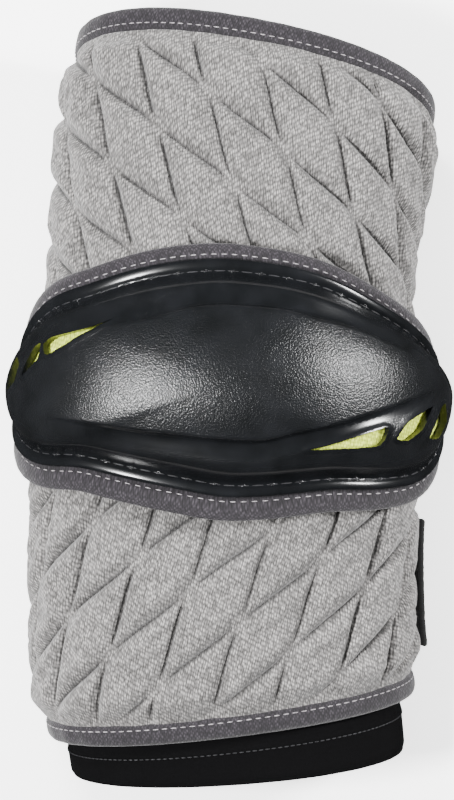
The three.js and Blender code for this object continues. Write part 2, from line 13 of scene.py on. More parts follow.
import bmesh
import bpy
import numpy as np
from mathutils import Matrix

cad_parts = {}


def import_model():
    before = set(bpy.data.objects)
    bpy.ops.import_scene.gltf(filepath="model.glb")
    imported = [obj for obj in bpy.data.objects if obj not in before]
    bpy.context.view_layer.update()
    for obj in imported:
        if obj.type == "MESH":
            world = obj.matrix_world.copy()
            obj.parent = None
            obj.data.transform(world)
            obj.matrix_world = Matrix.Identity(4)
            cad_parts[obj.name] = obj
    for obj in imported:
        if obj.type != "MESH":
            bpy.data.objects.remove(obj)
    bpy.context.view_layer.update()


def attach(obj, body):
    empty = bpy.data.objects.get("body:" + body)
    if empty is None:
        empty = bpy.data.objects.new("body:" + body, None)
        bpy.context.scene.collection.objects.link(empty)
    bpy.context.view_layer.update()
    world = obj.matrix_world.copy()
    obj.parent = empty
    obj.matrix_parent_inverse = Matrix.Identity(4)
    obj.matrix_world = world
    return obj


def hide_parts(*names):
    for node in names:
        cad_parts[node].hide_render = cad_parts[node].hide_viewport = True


LOG = logging.getLogger("arm_pad")
MM = 0.001
FRAME_OFFSET = np.array([1.512, -6.691, 0.031])  # from the surface's own axes to the row's frame
GAP = 0.4  # clearance between pieces sewn face to face
BOUND_EDGE = 8.5  # width of a pad's bound edge
TUCK = 2.2  # how far the quilted cloth runs under the binding
PARTING = 4.0  # between the two pads at the elbow
SECTION_BLUR = 0.03
PLAN_BLUR = 0.02
WELD = 2e-6  # metres under which points are one
STITCH_WELD = 1e-6
BODY = "root"


class Hand(enum.Enum):
    """Which way a pad's quilting leans."""

    UPPER = 1
    LOWER = -1


def smoothstep(low: float, high: float, value: np.ndarray) -> np.ndarray:
    """Eases from 0 at low to 1 at high."""
    share = np.clip((value - low) / (high - low), 0.0, 1.0)
    return share * share * (3.0 - 2.0 * share)


def wobble(u: np.ndarray, v: np.ndarray, waves: int, size: float, seed: int) -> np.ndarray:
    """Adds a few plane waves of random heading into a smooth, repeatable unevenness.

    Args:
        u: First coordinate in millimetres.
        v: Second coordinate in millimetres.
        waves: How many waves are added.
        size: Wavelength of the longest in millimetres.
        seed: Seed of the headings and phases.

    Returns:
        Values from about -1 to 1.
    """
    rng = np.random.default_rng(seed)
    total = np.zeros(np.broadcast(u, v).shape)
    for _ in range(waves):
        heading, phase = rng.uniform(0, 2 * np.pi, 2)
        length = size * rng.uniform(0.45, 1.0)
        total += np.sin(2 * np.pi * (u * np.cos(heading) + v * np.sin(heading)) / length + phase)
    return total / np.sqrt(waves) / 1.6


def lengths_along(path: np.ndarray) -> np.ndarray:
    """Running length at each point of a path."""
    return np.concatenate([[0], np.cumsum(np.linalg.norm(np.diff(path, axis=0), axis=1))])


def rounded(angle: np.ndarray, wave: np.ufunc, power: float) -> np.ndarray:
    """A sine or cosine squared up or sharpened by a power, with its sign kept."""
    return np.sign(wave(angle)) * np.abs(wave(angle)) ** power


class ColumnCurve:
    """A smooth curve through table rows that never overshoots them (monotone cubic)."""

    def __init__(self, x: np.ndarray, y: np.ndarray, blur: float = 0.0) -> None:
        """Works out a tangent at each row: the harmonic mean of the slopes on its two sides.

        Args:
            x: Places of the rows.
            y: Values of the rows.
            blur: Share of the table's length over which the curve is averaged, to even its bend.
        """
        self.x = np.asarray(x, float)
        self.y = np.asarray(y, float)
        slope = np.diff(self.y) / np.diff(self.x)
        before, after = slope[:-1], slope[1:]
        same = before * after > 0
        total = np.where(same, before + after, 1.0)
        inner = np.where(same, 2 * before * after / total, 0.0)
        self.tangent = np.concatenate([slope[:1], inner, slope[-1:]])
        if blur > 0:
            self.even_out(blur)

    def even_out(self, blur: float) -> None:
        """Averages the curve under a bell-shaped window, with the ends carried on straight.

        Args:
            blur: Half width of the window, as a share of the table's length.
        """
        count = 401
        places = np.linspace(self.x[0], self.x[-1], count)
        reach = int(3 * blur * count)
        step = places[1] - places[0]
        run = np.arange(1, reach + 1) * step
        values = self(places)
        before = values[0] - self.tangent[0] * run[::-1]
        after = values[-1] + self.tangent[-1] * run
        window = np.exp(-0.5 * (np.arange(-reach, reach + 1) / (blur * count)) ** 2)
        padded = np.concatenate([before, values, after])
        self.y = np.convolve(padded, window / window.sum(), mode="valid")
        self.x = places
        self.tangent = np.gradient(self.y, step)

    def __call__(self, at: np.ndarray) -> np.ndarray:
        """Returns the curve's values at these places, held at the first and last rows.

        Args:
            at: Places, in the units of the rows.

        Returns:
            The values there.
        """
        at = np.clip(at, self.x[0], self.x[-1])
        i = np.clip(np.searchsorted(self.x, at, side="right") - 1, 0, len(self.x) - 2)
        span = self.x[i + 1] - self.x[i]
        s = (at - self.x[i]) / span
        risen = s * s * (3 - 2 * s)
        bend = self.tangent[i] * s * (1 - s) ** 2 - self.tangent[i + 1] * s * s * (1 - s)
        return self.y[i] + (self.y[i + 1] - self.y[i]) * risen + bend * span


@dataclass
class ArmSurface:
    """The outside of the sleeve as it lies, an oval tube whose sections vary along the arm."""

    length: float = 267.0
    width: float = 124.0
    depth: float = 66.0
    widest_at: float = 0.42
    front_roundness: float = 2.15
    back_roundness: float = 3.0
    strap_thickness: float = 2.6
    elbow_at: float = 0.54
    face_height: float = 13.0
    # along, width, depth, aside, slope, lean, lift: one row for each section, as shares
    sections: tuple[tuple[float, ...], ...] = (
        (0.0, 1.045, 0.80, 0.016, 0.069, -0.25, 1.0),
        (0.07, 1.045, 0.86, 0.0, 0.133, -0.166, 1.0),
        (0.121, 1.035, 0.89, -0.025, 0.12, -0.15, 1.0),
        (0.293, 1.035, 0.96, -0.034, 0.06, -0.08, 1.0),
        (0.41, 1.05, 0.975, -0.026, 0.02, -0.02, 0.85),
        (0.54, 0.985, 1.0, -0.012, -0.02, 0.04, 0.7),
        (0.723, 0.97, 0.98, -0.008, -0.08, 0.18, 0.15),
        (0.813, 0.99, 0.95, 0.014, -0.12, 0.27, 0.0),
        (1.0, 1.02, 0.87, 0.074, -0.19, 0.45, 0.0),
    )

    def __post_init__(self) -> None:
        """Makes the section curves and the table of lengths round the face."""
        table = np.array(self.sections)
        names = ("wide", "deep", "aside", "slope", "lean", "lift")
        self.curves = {
            name: ColumnCurve(table[:, 0], table[:, k + 1], SECTION_BLUR) for k, name in enumerate(names)
        }
        self.turns = np.linspace(0.0, np.pi, 721)
        elbow, face = np.full_like(self.turns, self.elbow_at), np.full_like(self.turns, self.face_height)
        x, z, _ = self.outline(elbow, self.turns, face)
        self.arc = np.concatenate([[0.0], np.cumsum(np.hypot(np.diff(x), np.diff(z)))])

    def outline(self, along: np.ndarray, turn: np.ndarray, out: np.ndarray) -> tuple[np.ndarray, ...]:
        """Section of the tube: two half superellipses, moved out along their normals.

        Args:
            along: Share of the sleeve's length.
            turn: Radians from the front.
            out: Height off the sleeve.

        Returns:
            Sideways and upward distance from the widest line, and the height of that line.
        """
        half = self.width / 2 * self.curves["wide"](along)
        depth = self.depth * self.curves["deep"](along)
        side, front = np.sin(turn), np.cos(turn)
        n = np.where(front >= 0, self.front_roundness, self.back_roundness)
        reach = depth * np.where(front >= 0, 1 - self.widest_at, self.widest_at)
        sx = np.sign(side) * np.abs(side) ** (2 / n)
        sz = np.sign(front) * np.abs(front) ** (2 / n)
        nx = np.sign(sx) * np.abs(sx) ** (n - 1) / half
        nz = np.sign(sz) * np.abs(sz) ** (n - 1) / reach
        size = np.hypot(nx, nz)
        return sx * half + nx / size * out, sz * reach + nz / size * out, depth * self.widest_at

    def point(self, along: np.ndarray, turn: np.ndarray, out: np.ndarray) -> np.ndarray:
        """Points in the row's frame, in metres: the section set aside, sloped, leaned and lifted.

        Args:
            along: Share of the sleeve's length.
            turn: Radians from the front.
            out: Height off the sleeve.

        Returns:
            Points in metres.
        """
        along, turn, out = np.broadcast_arrays(np.asarray(along, float), turn, out)
        x, z, widest = self.outline(along, turn, out)
        y = (along - 0.5) * self.length + self.curves["slope"](along) * x + self.curves["lean"](along) * z
        lift = self.curves["lift"](along) * (self.strap_thickness + GAP)
        flat = np.stack([x + self.curves["aside"](along) * self.width, y, z + widest + lift], axis=-1)
        return (flat + FRAME_OFFSET) * MM

    def at(self, round_mm: np.ndarray, along_mm: np.ndarray, out: np.ndarray) -> np.ndarray:
        """Points from millimetres round the face and millimetres along from the wrist end."""
        return self.point(along_mm / self.length, self.turn_of(round_mm), out)

    def round_of(self, turn: np.ndarray) -> np.ndarray:
        """Millimetres round the pads' face for a turn."""
        return np.sign(turn) * np.interp(np.abs(turn), self.turns, self.arc)

    def turn_of(self, round_mm: np.ndarray) -> np.ndarray:
        """Turn for millimetres round the pads' face."""
        return np.sign(round_mm) * np.interp(np.abs(round_mm), self.arc, self.turns)


def srgb(code: str) -> tuple[float, float, float, float]:
    """Turns an sRGB hex colour to linear red, green, blue and an alpha of 1.

    Args:
        code: A hash sign and six hex digits.

    Returns:
        Linear red, green and blue, and alpha.
    """
    channels = [int(code[k : k + 2], 16) / 255 for k in (1, 3, 5)]
    linear = [c / 12.92 if c <= 0.04045 else ((c + 0.055) / 1.055) ** 2.4 for c in channels]
    return (*linear, 1.0)


def grid_faces(rows: int, columns: int) -> np.ndarray:
    """Corner numbers of the quads between the points of a grid.

    Args:
        rows: How many rows of points.
        columns: How many columns.

    Returns:
        Faces by 4 corner numbers.
    """
    index = np.arange(rows * columns).reshape(rows, columns)
    corners = [index[:-1, :-1], index[:-1, 1:], index[1:, 1:], index[1:, :-1]]
    return np.stack(corners, axis=-1).reshape(-1, 4)


def link_object(name: str, data: bpy.types.ID) -> bpy.types.Object:
    """Makes an object for a mesh, light or camera and puts it in the scene.

    Args:
        name: The object's name.
        data: Its mesh, light or camera.

    Returns:
        The object.
    """
    obj = bpy.data.objects.new(name, data)
    bpy.context.scene.collection.objects.link(obj)
    return obj


def weld(mesh: bpy.types.Mesh, reach: float, sliver: float, turn_out: bool = False) -> None:
    """Joins coincident points, drops slivers and shades the mesh smooth.

    Args:
        mesh: The mesh, changed in place.
        reach: Metres under which points are joined.
        sliver: Metres under which an edge counts as none.
        turn_out: Whether the faces are turned outwards again.
    """
    edit = bmesh.new()
    edit.from_mesh(mesh)
    bmesh.ops.remove_doubles(edit, verts=edit.verts, dist=reach)
    bmesh.ops.dissolve_degenerate(edit, edges=edit.edges, dist=sliver)
    if turn_out:
        bmesh.ops.recalc_face_normals(edit, faces=edit.faces)
    edit.to_mesh(mesh)
    edit.free()
    mesh.polygons.foreach_set("use_smooth", np.ones(len(mesh.polygons), bool))


def grid_mesh(
    name: str,
    points: np.ndarray,
    uv: np.ndarray | None = None,
    marks: dict[str, np.ndarray] | None = None,
) -> bpy.types.Object:
    """Makes an object from a grid of points, joining coincident ones so that seams and poles close.

    Args:
        name: The object's name.
        points: Rows by columns by 3, in metres.
        uv: Rows by columns by 2, in millimetres on the cloth.
        marks: Named values for each point, as rows by columns.

    Returns:
        The object, smooth shaded, its faces outwards.
    """
    faces = grid_faces(*points.shape[:2])
    flat = points.reshape(-1, 3)
    a, b, c, d = (flat[faces[:, k]] for k in range(4))
    volume = sum(np.einsum("ij,ij->", a, np.cross(near, far)) for near, far in ((b, c), (c, d)))
    if volume < 0:
        faces = faces[:, ::-1]
    mesh = bpy.data.meshes.new(name)
    mesh.from_pydata(flat, [], faces)
    if uv is not None:
        layer = mesh.uv_layers.new(name="cloth")
        corners = uv.reshape(-1, 2)[faces.ravel()]
        layer.data.foreach_set("uv", corners.astype(np.float32).ravel())
    for mark, values in (marks or {}).items():
        attribute = mesh.attributes.new(mark, "FLOAT", "POINT")
        attribute.data.foreach_set("value", values.astype(np.float32).ravel())
    weld(mesh, WELD, 1e-7)
    return link_object(name, mesh)


def shell_grid(outer: np.ndarray, inner: np.ndarray) -> np.ndarray:
    """Closes two faces of a sheet into one grid that wraps round its first and last rows.

    The rows run up the outer face, then down the inner face and back to the start. The open sides of the
    grid are closed by closing columns, in which every inner point slides onto its outer one.

    Args:
        outer: Rows by columns by 3 points of the outer face.
        inner: The same for the inner face.

    Returns:
        The closed grid.
    """
    loop = np.concatenate([outer, inner[::-1], outer[:1]], axis=0)
    middle = (outer + inner) / 2
    edge = np.concatenate([middle, middle[::-1], middle[:1]], axis=0)
    return np.concatenate([edge[:, :1], loop, edge[:, -1:]], axis=1)


def scatter(name: str, template: np.ndarray, origin: np.ndarray, axes: np.ndarray) -> bpy.types.Object:
    """Repeats a small closed grid at many places.

    Args:
        name: The object's name.
        template: Rows by columns by 3 points of one copy, in millimetres.
        origin: Places, n by 3, in metres.
        axes: For each place its three axes as rows, n by 3 by 3.

    Returns:
        One object that holds every copy.
    """
    rows, columns = template.shape[:2]
    local = template.reshape(-1, 3) * MM
    points = origin[:, None, :] + np.einsum("pk,nkj->npj", local, axes)
    copies = (np.arange(len(origin)) * rows * columns)[:, None, None]
    faces = (grid_faces(rows, columns)[None] + copies).reshape(-1, 4)
    mesh = bpy.data.meshes.new(name)
    mesh.from_pydata(points.reshape(-1, 3), [], faces)
    weld(mesh, STITCH_WELD, 1e-8, turn_out=True)
    return link_object(name, mesh)


def frames_on(points: np.ndarray, above: np.ndarray) -> np.ndarray:
    """Axes along a path on a surface: forwards, sideways and up.

    Args:
        points: The path's points, n by 3.
        above: Points a little higher off the surface at the same places.

    Returns:
        n by 3 by 3 unit axes as rows.
    """
    up = above - points
    up /= np.linalg.norm(up, axis=1, keepdims=True)
    forward = np.gradient(points, axis=0)
    forward -= up * np.sum(forward * up, axis=1, keepdims=True)
    forward /= np.linalg.norm(forward, axis=1, keepdims=True)
    return np.stack([forward, np.cross(up, forward), up], axis=1)


def bead(length: float, width: float, height: float) -> np.ndarray:
    """One stitch: an ellipsoid grid of a few dozen faces, longest forwards.

    Args:
        length: Millimetres forwards.
        width: Millimetres sideways.
        height: Millimetres up.

    Returns:
        Rows by columns by 3 points.
    """
    v, u = np.meshgrid(np.linspace(0, np.pi, 6), np.linspace(0, 2 * np.pi, 7), indexing="ij")
    x = np.cos(v) * length / 2
    return np.stack([x, np.sin(v) * np.cos(u) * width / 2, np.sin(v) * np.sin(u) * height / 2], axis=-1)


class Finish:
    """A material under construction: its node tree and the one function that adds a node to it."""

    def __init__(self, name: str) -> None:
        """Starts a node material with a Principled shader.

        Args:
            name: The material's name.
        """
        self.material = bpy.data.materials.new(name)
        self.material.use_nodes = True
        self.tree = self.material.node_tree
        self.shader = self.tree.nodes["Principled BSDF"]

    def add(self, kind: str, settings: dict | None = None, links: dict | None = None) -> bpy.types.Node:
        """Adds a node.

        Args:
            kind: The node's type.
            settings: Attribute values, or values of inputs given by their index or name.
            links: Output sockets that feed inputs given by their index or name.

        Returns:
            The node.
        """
        node = self.tree.nodes.new(kind)
        for key, value in (settings or {}).items():
            if isinstance(key, str) and hasattr(node, key):
                setattr(node, key, value)
            else:
                node.inputs[key].default_value = value
        for key, socket in (links or {}).items():
            self.tree.links.new(socket, node.inputs[key])
        return node

    def ramp(self, source: bpy.types.NodeSocket, stops: list[tuple[float, str]]) -> bpy.types.NodeSocket:
        """Colours a value by stops of place and sRGB colour.

        Args:
            source: The value to colour.
            stops: Places from 0 to 1 with their sRGB colours.

        Returns:
            The colour.
        """
        node = self.add("ShaderNodeValToRGB", None, {"Fac": source})
        elements = node.color_ramp.elements
        while len(elements) < len(stops):
            elements.new(0.5)
        for element, (place, code) in zip(elements, stops):
            element.position = place
            element.color = srgb(code)
        return node.outputs["Color"]

    def bump(
        self,
        height: bpy.types.NodeSocket,
        distance_mm: float,
        strength: float,
        under: bpy.types.NodeSocket | None = None,
    ) -> None:
        """Feeds a height to the shader's normal, on top of an earlier bump if there is one.

        Args:
            height: The height to follow.
            distance_mm: Depth of the relief.
            strength: Share of the relief that shows.
            under: Normal of an earlier bump.
        """
        links = {"Height": height}
        if under is not None:
            links["Normal"] = under
        node = self.add("ShaderNodeBump", {"Distance": distance_mm * MM, "Strength": strength}, links)
        self.tree.links.new(node.outputs["Normal"], self.shader.inputs["Normal"])

    def math(self, operation: str, *terms: float | bpy.types.NodeSocket) -> bpy.types.NodeSocket:
        """Adds a sum, product or the like of numbers and sockets, in their order.

        Args:
            operation: Name of the operation.
            terms: Numbers or sockets.

        Returns:
            The result.
        """
        numbers = {k: term for k, term in enumerate(terms) if isinstance(term, float)}
        sockets = {k: term for k, term in enumerate(terms) if k not in numbers}
        return self.add("ShaderNodeMath", {"operation": operation, **numbers}, sockets).outputs["Value"]

    def remap(
        self,
        value: bpy.types.NodeSocket,
        before: tuple[float, float],
        after: tuple[float, float],
        kind: str = "LINEAR",
    ) -> bpy.types.NodeSocket:
        """Moves a value from one range to another, held at its ends.

        Args:
            value: The value to move.
            before: Its range.
            after: The new range.
            kind: How it eases in between.

        Returns:
            The moved value.
        """
        ends = {"From Min": before[0], "From Max": before[1], "To Min": after[0], "To Max": after[1]}
        node = self.add("ShaderNodeMapRange", {"interpolation_type": kind, **ends}, {"Value": value})
        return node.outputs["Result"]

    def noise(
        self, scale: float, detail: float, place: bpy.types.NodeSocket, roughness: float = 0.5
    ) -> bpy.types.Node:
        """Adds cloudy noise at these coordinates."""
        settings = {"Scale": scale, "Detail": detail, "Roughness": roughness}
        return self.add("ShaderNodeTexNoise", settings, {"Vector": place})

    def mark(self, name: str) -> bpy.types.NodeSocket:
        """Value that the mesh carries under this name."""
        return self.add("ShaderNodeAttribute", {"attribute_name": name}).outputs["Fac"]

    def body(self) -> bpy.types.NodeSocket:
        """The object's own coordinates, in metres."""
        return self.add("ShaderNodeTexCoord").outputs["Object"]

    def colour(self, socket: bpy.types.NodeSocket) -> None:
        """Feeds a colour to the shader."""
        self.tree.links.new(socket, self.shader.inputs["Base Color"])

    def set(self, **values: float) -> None:
        """Sets the shader's own sockets, their names written with underscores."""
        for key, value in values.items():
            self.shader.inputs[key.replace("_", " ")].default_value = value

    def cloth(self, turn_deg: float = 0.0, scale: tuple[float, float] = (1.0, 1.0)) -> bpy.types.NodeSocket:
        """Cloth coordinates in millimetres, turned and scaled.

        Args:
            turn_deg: How far the pattern is turned.
            scale: How much it is squeezed each way.

        Returns:
            The coordinates.
        """
        uv = self.add("ShaderNodeUVMap", {"uv_map": "cloth"})
        mapping = self.add(
            "ShaderNodeMapping",
            {"Rotation": (0.0, 0.0, np.radians(turn_deg)), "Scale": (scale[0], scale[1], 1.0)},
            {"Vector": uv.outputs["UV"]},
        )
        return mapping.outputs["Vector"]


@dataclass(frozen=True)
class WovenCloth:
    """Polyester or nylon weave, in threads that cross at small raised dots.

    A yarn-dyed weave looks dry and matte, dotted at its crossings, with lighter and darker yarns mixed.
    """

    name: str
    dark: str
    mid: str
    light: str
    dot_mm: float  # spacing of the raised dots
    relief_mm: float
    heather: float  # how much the yarns differ
    turn_deg: float = 24.0
    stretch: tuple[float, float] = (1.0, 0.8)
    sheen: float = 0.15
    rough: float = 0.9
    # share by which painted shade darkens the cloth's colour in the middle of a fold
    seam_shade: float = 0.68
    fold_mm: float = 0.95
    twill_mm: float = 0.8
    twill_deg: float = -20.0

    def build(self) -> bpy.types.Material:
        """Dots from a nearly regular Voronoi, yarns from stretched noise, both on cloth coordinates.

        Returns:
            The material.
        """
        f = Finish(self.name)
        dots = f.add(
            "ShaderNodeTexVoronoi",
            {"feature": "SMOOTH_F1", "Scale": 1 / self.dot_mm, "Randomness": 0.45, "Smoothness": 0.35},
            {"Vector": f.cloth(self.turn_deg, self.stretch)},
        )
        twill = f.add(
            "ShaderNodeTexWave",
            {"Scale": 1 / (self.twill_mm * 20 / (2 * np.pi)), "Distortion": 1.5, "Detail": 1.0},
            {"Vector": f.cloth(self.twill_deg)},
        )
        yarn = f.noise(1.0, 3.0, f.cloth(0.0, (1.7, 0.5)), 0.65)
        blotch = f.noise(0.05, 2.0, f.cloth())
        level = f.remap(dots.outputs["Distance"], (0.12, 0.62), (0.82, 0.12))
        for texture, share in ((yarn, self.heather), (twill, 0.22), (blotch, 0.16)):
            level = f.math("MULTIPLY_ADD", texture.outputs["Fac"], share, level)
        level = f.math("SUBTRACT", level, self.heather * 0.5 + 0.19)
        yarns = f.ramp(level, [(0.0, self.dark), (0.5, self.mid), (1.0, self.light)])
        # painted shade: the yarns' colour is darkened along the quilting's folds, where little light
        # enters; the same folds also dip the bump
        seam = self.seam_lines(f)
        shade = f.remap(seam, (0.0, 1.0), (1.0, 1.0 - self.seam_shade))
        shaded = f.add("ShaderNodeVectorMath", {"operation": "SCALE"}, {0: yarns, "Scale": shade})
        f.colour(shaded.outputs["Vector"])
        dip = {"Distance": 0.8 * MM, "Strength": 1.0, "invert": True}
        fold = f.add("ShaderNodeBump", dip, {"Height": seam})
        f.bump(level, self.relief_mm, 0.8, fold.outputs["Normal"])
        f.set(Roughness=self.rough, Sheen_Weight=self.sheen, Sheen_Roughness=0.5, Specular_IOR_Level=0.25)
        return f.material

    def seam_lines(self, f: Finish) -> bpy.types.NodeSocket:
        """Folds where the quilting pulls the cloth in, too tight for light to enter, used as painted shade
        in the colour and as a dip in the bump.

        The mesh carries its place in the quilting as the values steep and slant, whole numbers being seams.
        A fold is drawn from its distance in millimetres and fades out where it meets the other family.

        Args:
            f: The material under construction.

        Returns:
            A value of 1 in the middle of a fold and 0 away from it.
        """
        push = f.math("MULTIPLY_ADD", f.noise(0.35, 2.0, f.cloth()).outputs["Fac"], 0.03, -0.015)
        reach: dict[str, bpy.types.NodeSocket] = {}
        for name in ("steep", "slant"):
            reach[name] = f.math("PINGPONG", f.math("ADD", f.mark(name), push), 0.5)
        folds: list[bpy.types.NodeSocket] = []
        for name, other, pitch_mm in (("steep", "slant", 22.6), ("slant", "steep", 21.8)):
            line = f.remap(reach[name], (0.0, self.fold_mm / pitch_mm), (1.0, 0.0), "SMOOTHSTEP")
            shown = f.remap(reach[other], (0.03, 0.22), (0.0, 1.0), "SMOOTHSTEP")
            folds.append(f.math("MULTIPLY", line, shown))
        return f.math("MULTIPLY", f.math("MAXIMUM", *folds), f.mark("quilted"))


@dataclass(frozen=True)
class MouldedPlastic:
    """Injection-moulded polypropylene with a spark-eroded pebble, polished on the flange and grooves."""

    name: str = "moulded_polypropylene"
    dark: str = "#08090a"
    worn: str = "#101113"
    pebble_mm: float = 0.62
    relief_mm: float = 0.11

    def build(self) -> bpy.types.Material:
        """Pebbles from smooth Voronoi on object coordinates, faded by the mesh's own grain value.

        Returns:
            The material.
        """
        f = Finish(self.name)
        size = (1 / (self.pebble_mm * MM),) * 3
        place = f.add("ShaderNodeMapping", {"Scale": size}, {"Vector": f.body()}).outputs["Vector"]
        pushed = f.add(
            "ShaderNodeVectorMath",
            {"operation": "MULTIPLY_ADD", 1: (1.3, 1.3, 1.3)},
            {0: f.noise(0.7, 2.0, place).outputs["Color"], 2: place},
        )
        pebbles = f.add(
            "ShaderNodeTexVoronoi",
            {"feature": "SMOOTH_F1", "Scale": 1.0, "Smoothness": 0.25},
            {"Vector": pushed.outputs["Vector"]},
        )
        grain = f.mark("grain")
        f.bump(f.math("MULTIPLY", pebbles.outputs["Distance"], grain), self.relief_mm, 1.0)
        f.tree.links.new(f.remap(grain, (0.0, 1.0), (0.2, 0.3)), f.shader.inputs["Roughness"])
        cloud = f.noise(0.06, 4.0, place).outputs["Fac"]
        f.colour(f.ramp(cloud, [(0.3, self.dark), (0.75, self.worn)]))
        f.set(Specular_IOR_Level=0.34, IOR=1.49)
        return f.material


@dataclass(frozen=True)
class FuzzyKnit:
    """Knitted polyester: brushed into loops for the strap, or plain and stretchy for the sleeve.

    It drinks light, with a faint bloom at grazing angles and fine ribs along the yarn.
    """

    name: str
    dark: str
    light: str
    rib_mm: float
    fuzz_mm: float
    relief_mm: float
    sheen: float

    def build(self) -> bpy.types.Material:
        """Ribs from a wave across the cloth and fuzz from fine noise, added for colour and bump.

        Returns:
            The material.
        """
        f = Finish(self.name)
        squeeze = 6.2832  # the wave texture's own turn, taken out of its scale and put in its coordinates
        ribs = f.add(
            "ShaderNodeTexWave",
            {"Scale": 1 / self.rib_mm / squeeze, "Distortion": 1.2, "Detail": 2.0, "Detail Scale": 2.0},
            {"Vector": f.cloth(0.0, (squeeze, 0.8))},
        )
        fuzz = f.noise(1 / self.fuzz_mm, 4.0, f.cloth(), 0.7)
        both = f.math("MULTIPLY_ADD", ribs.outputs["Fac"], 0.35, fuzz.outputs["Fac"])
        f.colour(f.ramp(both, [(0.35, self.dark), (0.95, self.light)]))
        f.bump(both, self.relief_mm, 0.9)
        f.set(Roughness=0.95, Sheen_Weight=self.sheen, Sheen_Roughness=0.6, Specular_IOR_Level=0.06)
        return f.material


@dataclass(frozen=True)
class Thread:
    """Twisted polyester sewing thread, slightly shiny, its ply too fine to show at its real 0.2 mm."""

    name: str
    dark: str
    light: str

    def build(self) -> bpy.types.Material:
        """Ply from fine noise on object coordinates, drawn at 0.6 mm so that it shows.

        Returns:
            The material.
        """
        f = Finish(self.name)
        ply = f.noise(1 / (0.6 * MM), 2.0, f.body()).outputs["Fac"]
        f.colour(f.ramp(ply, [(0.3, self.dark), (0.65, self.light)]))
        f.bump(ply, 0.04, 0.5)
        f.set(Roughness=0.55, Specular_IOR_Level=0.4)
        return f.material


@dataclass(frozen=True)
class MattePaper:
    """Seamless studio paper under the pad, lit from behind so that it photographs white."""

    name: str = "studio_paper"
    tone: str = "#fbfbfb"

    def build(self) -> bpy.types.Material:
        """A pale matte surface with a trace of tooth.

        Returns:
            The material.
        """
        f = Finish(self.name)
        tooth = f.noise(900.0, 2.0, f.body()).outputs["Fac"]
        f.colour(f.ramp(tooth, [(0.0, self.tone), (1.0, "#fafafa")]))
        f.set(Roughness=0.9, Specular_IOR_Level=0.2, Emission_Strength=1.25)
        f.set(Emission_Color=srgb("#ffffff"))
        return f.material


@dataclass
class Finishes:
    """Every material of the arm pad, made once."""

    quilt: bpy.types.Material = field(init=False)
    tape: bpy.types.Material = field(init=False)
    liner: bpy.types.Material = field(init=False)
    plastic: bpy.types.Material = field(init=False)
    knit: bpy.types.Material = field(init=False)
    loop: bpy.types.Material = field(init=False)
    pale_thread: bpy.types.Material = field(init=False)
    black_thread: bpy.types.Material = field(init=False)

    def __post_init__(self) -> None:
        """Builds the materials."""
        quilt_shades = ("#2e2d2c", "#636160", "#979491")
        tape_shades = ("#0d0c0e", "#1f1c20", "#383539")
        lime_shades = ("#7f8c22", "#bccb45", "#d5e063")
        self.quilt = WovenCloth(
            "heather_dobby_cloth",
            *quilt_shades,
            dot_mm=1.25,
            relief_mm=0.2,
            heather=0.55,
            turn_deg=-20.0,
            stretch=(1.35, 0.8),
        ).build()
        self.tape = WovenCloth(
            "nylon_binding_tape", *tape_shades, dot_mm=1.05, relief_mm=0.2, heather=0.15, turn_deg=38.0
        ).build()
        self.liner = WovenCloth(
            "lime_spacer_mesh", *lime_shades, dot_mm=1.1, relief_mm=0.2, heather=0.3, turn_deg=10.0
        ).build()
        self.plastic = MouldedPlastic().build()
        self.knit = FuzzyKnit(
            "stretch_knit", "#020202", "#070708", rib_mm=0.9, fuzz_mm=0.8, relief_mm=0.12, sheen=0.0
        ).build()
        self.loop = FuzzyKnit(
            "brushed_loop", "#030303", "#121212", rib_mm=1.6, fuzz_mm=0.7, relief_mm=0.4, sheen=0.15
        ).build()
        self.pale_thread = Thread("pale_thread", "#5c595c", "#8d898b").build()
        self.black_thread = Thread("black_thread", "#060607", "#232326").build()


def dress(obj: bpy.types.Object, material: bpy.types.Material) -> bpy.types.Object:
    """Gives a piece its material and the body that it rides on.

    Args:
        obj: The piece.
        material: Its material.

    Returns:
        The same piece.
    """
    obj.data.materials.append(material)
    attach(obj, BODY)
    LOG.info("%s: %d faces", obj.name, len(obj.data.polygons))
    return obj


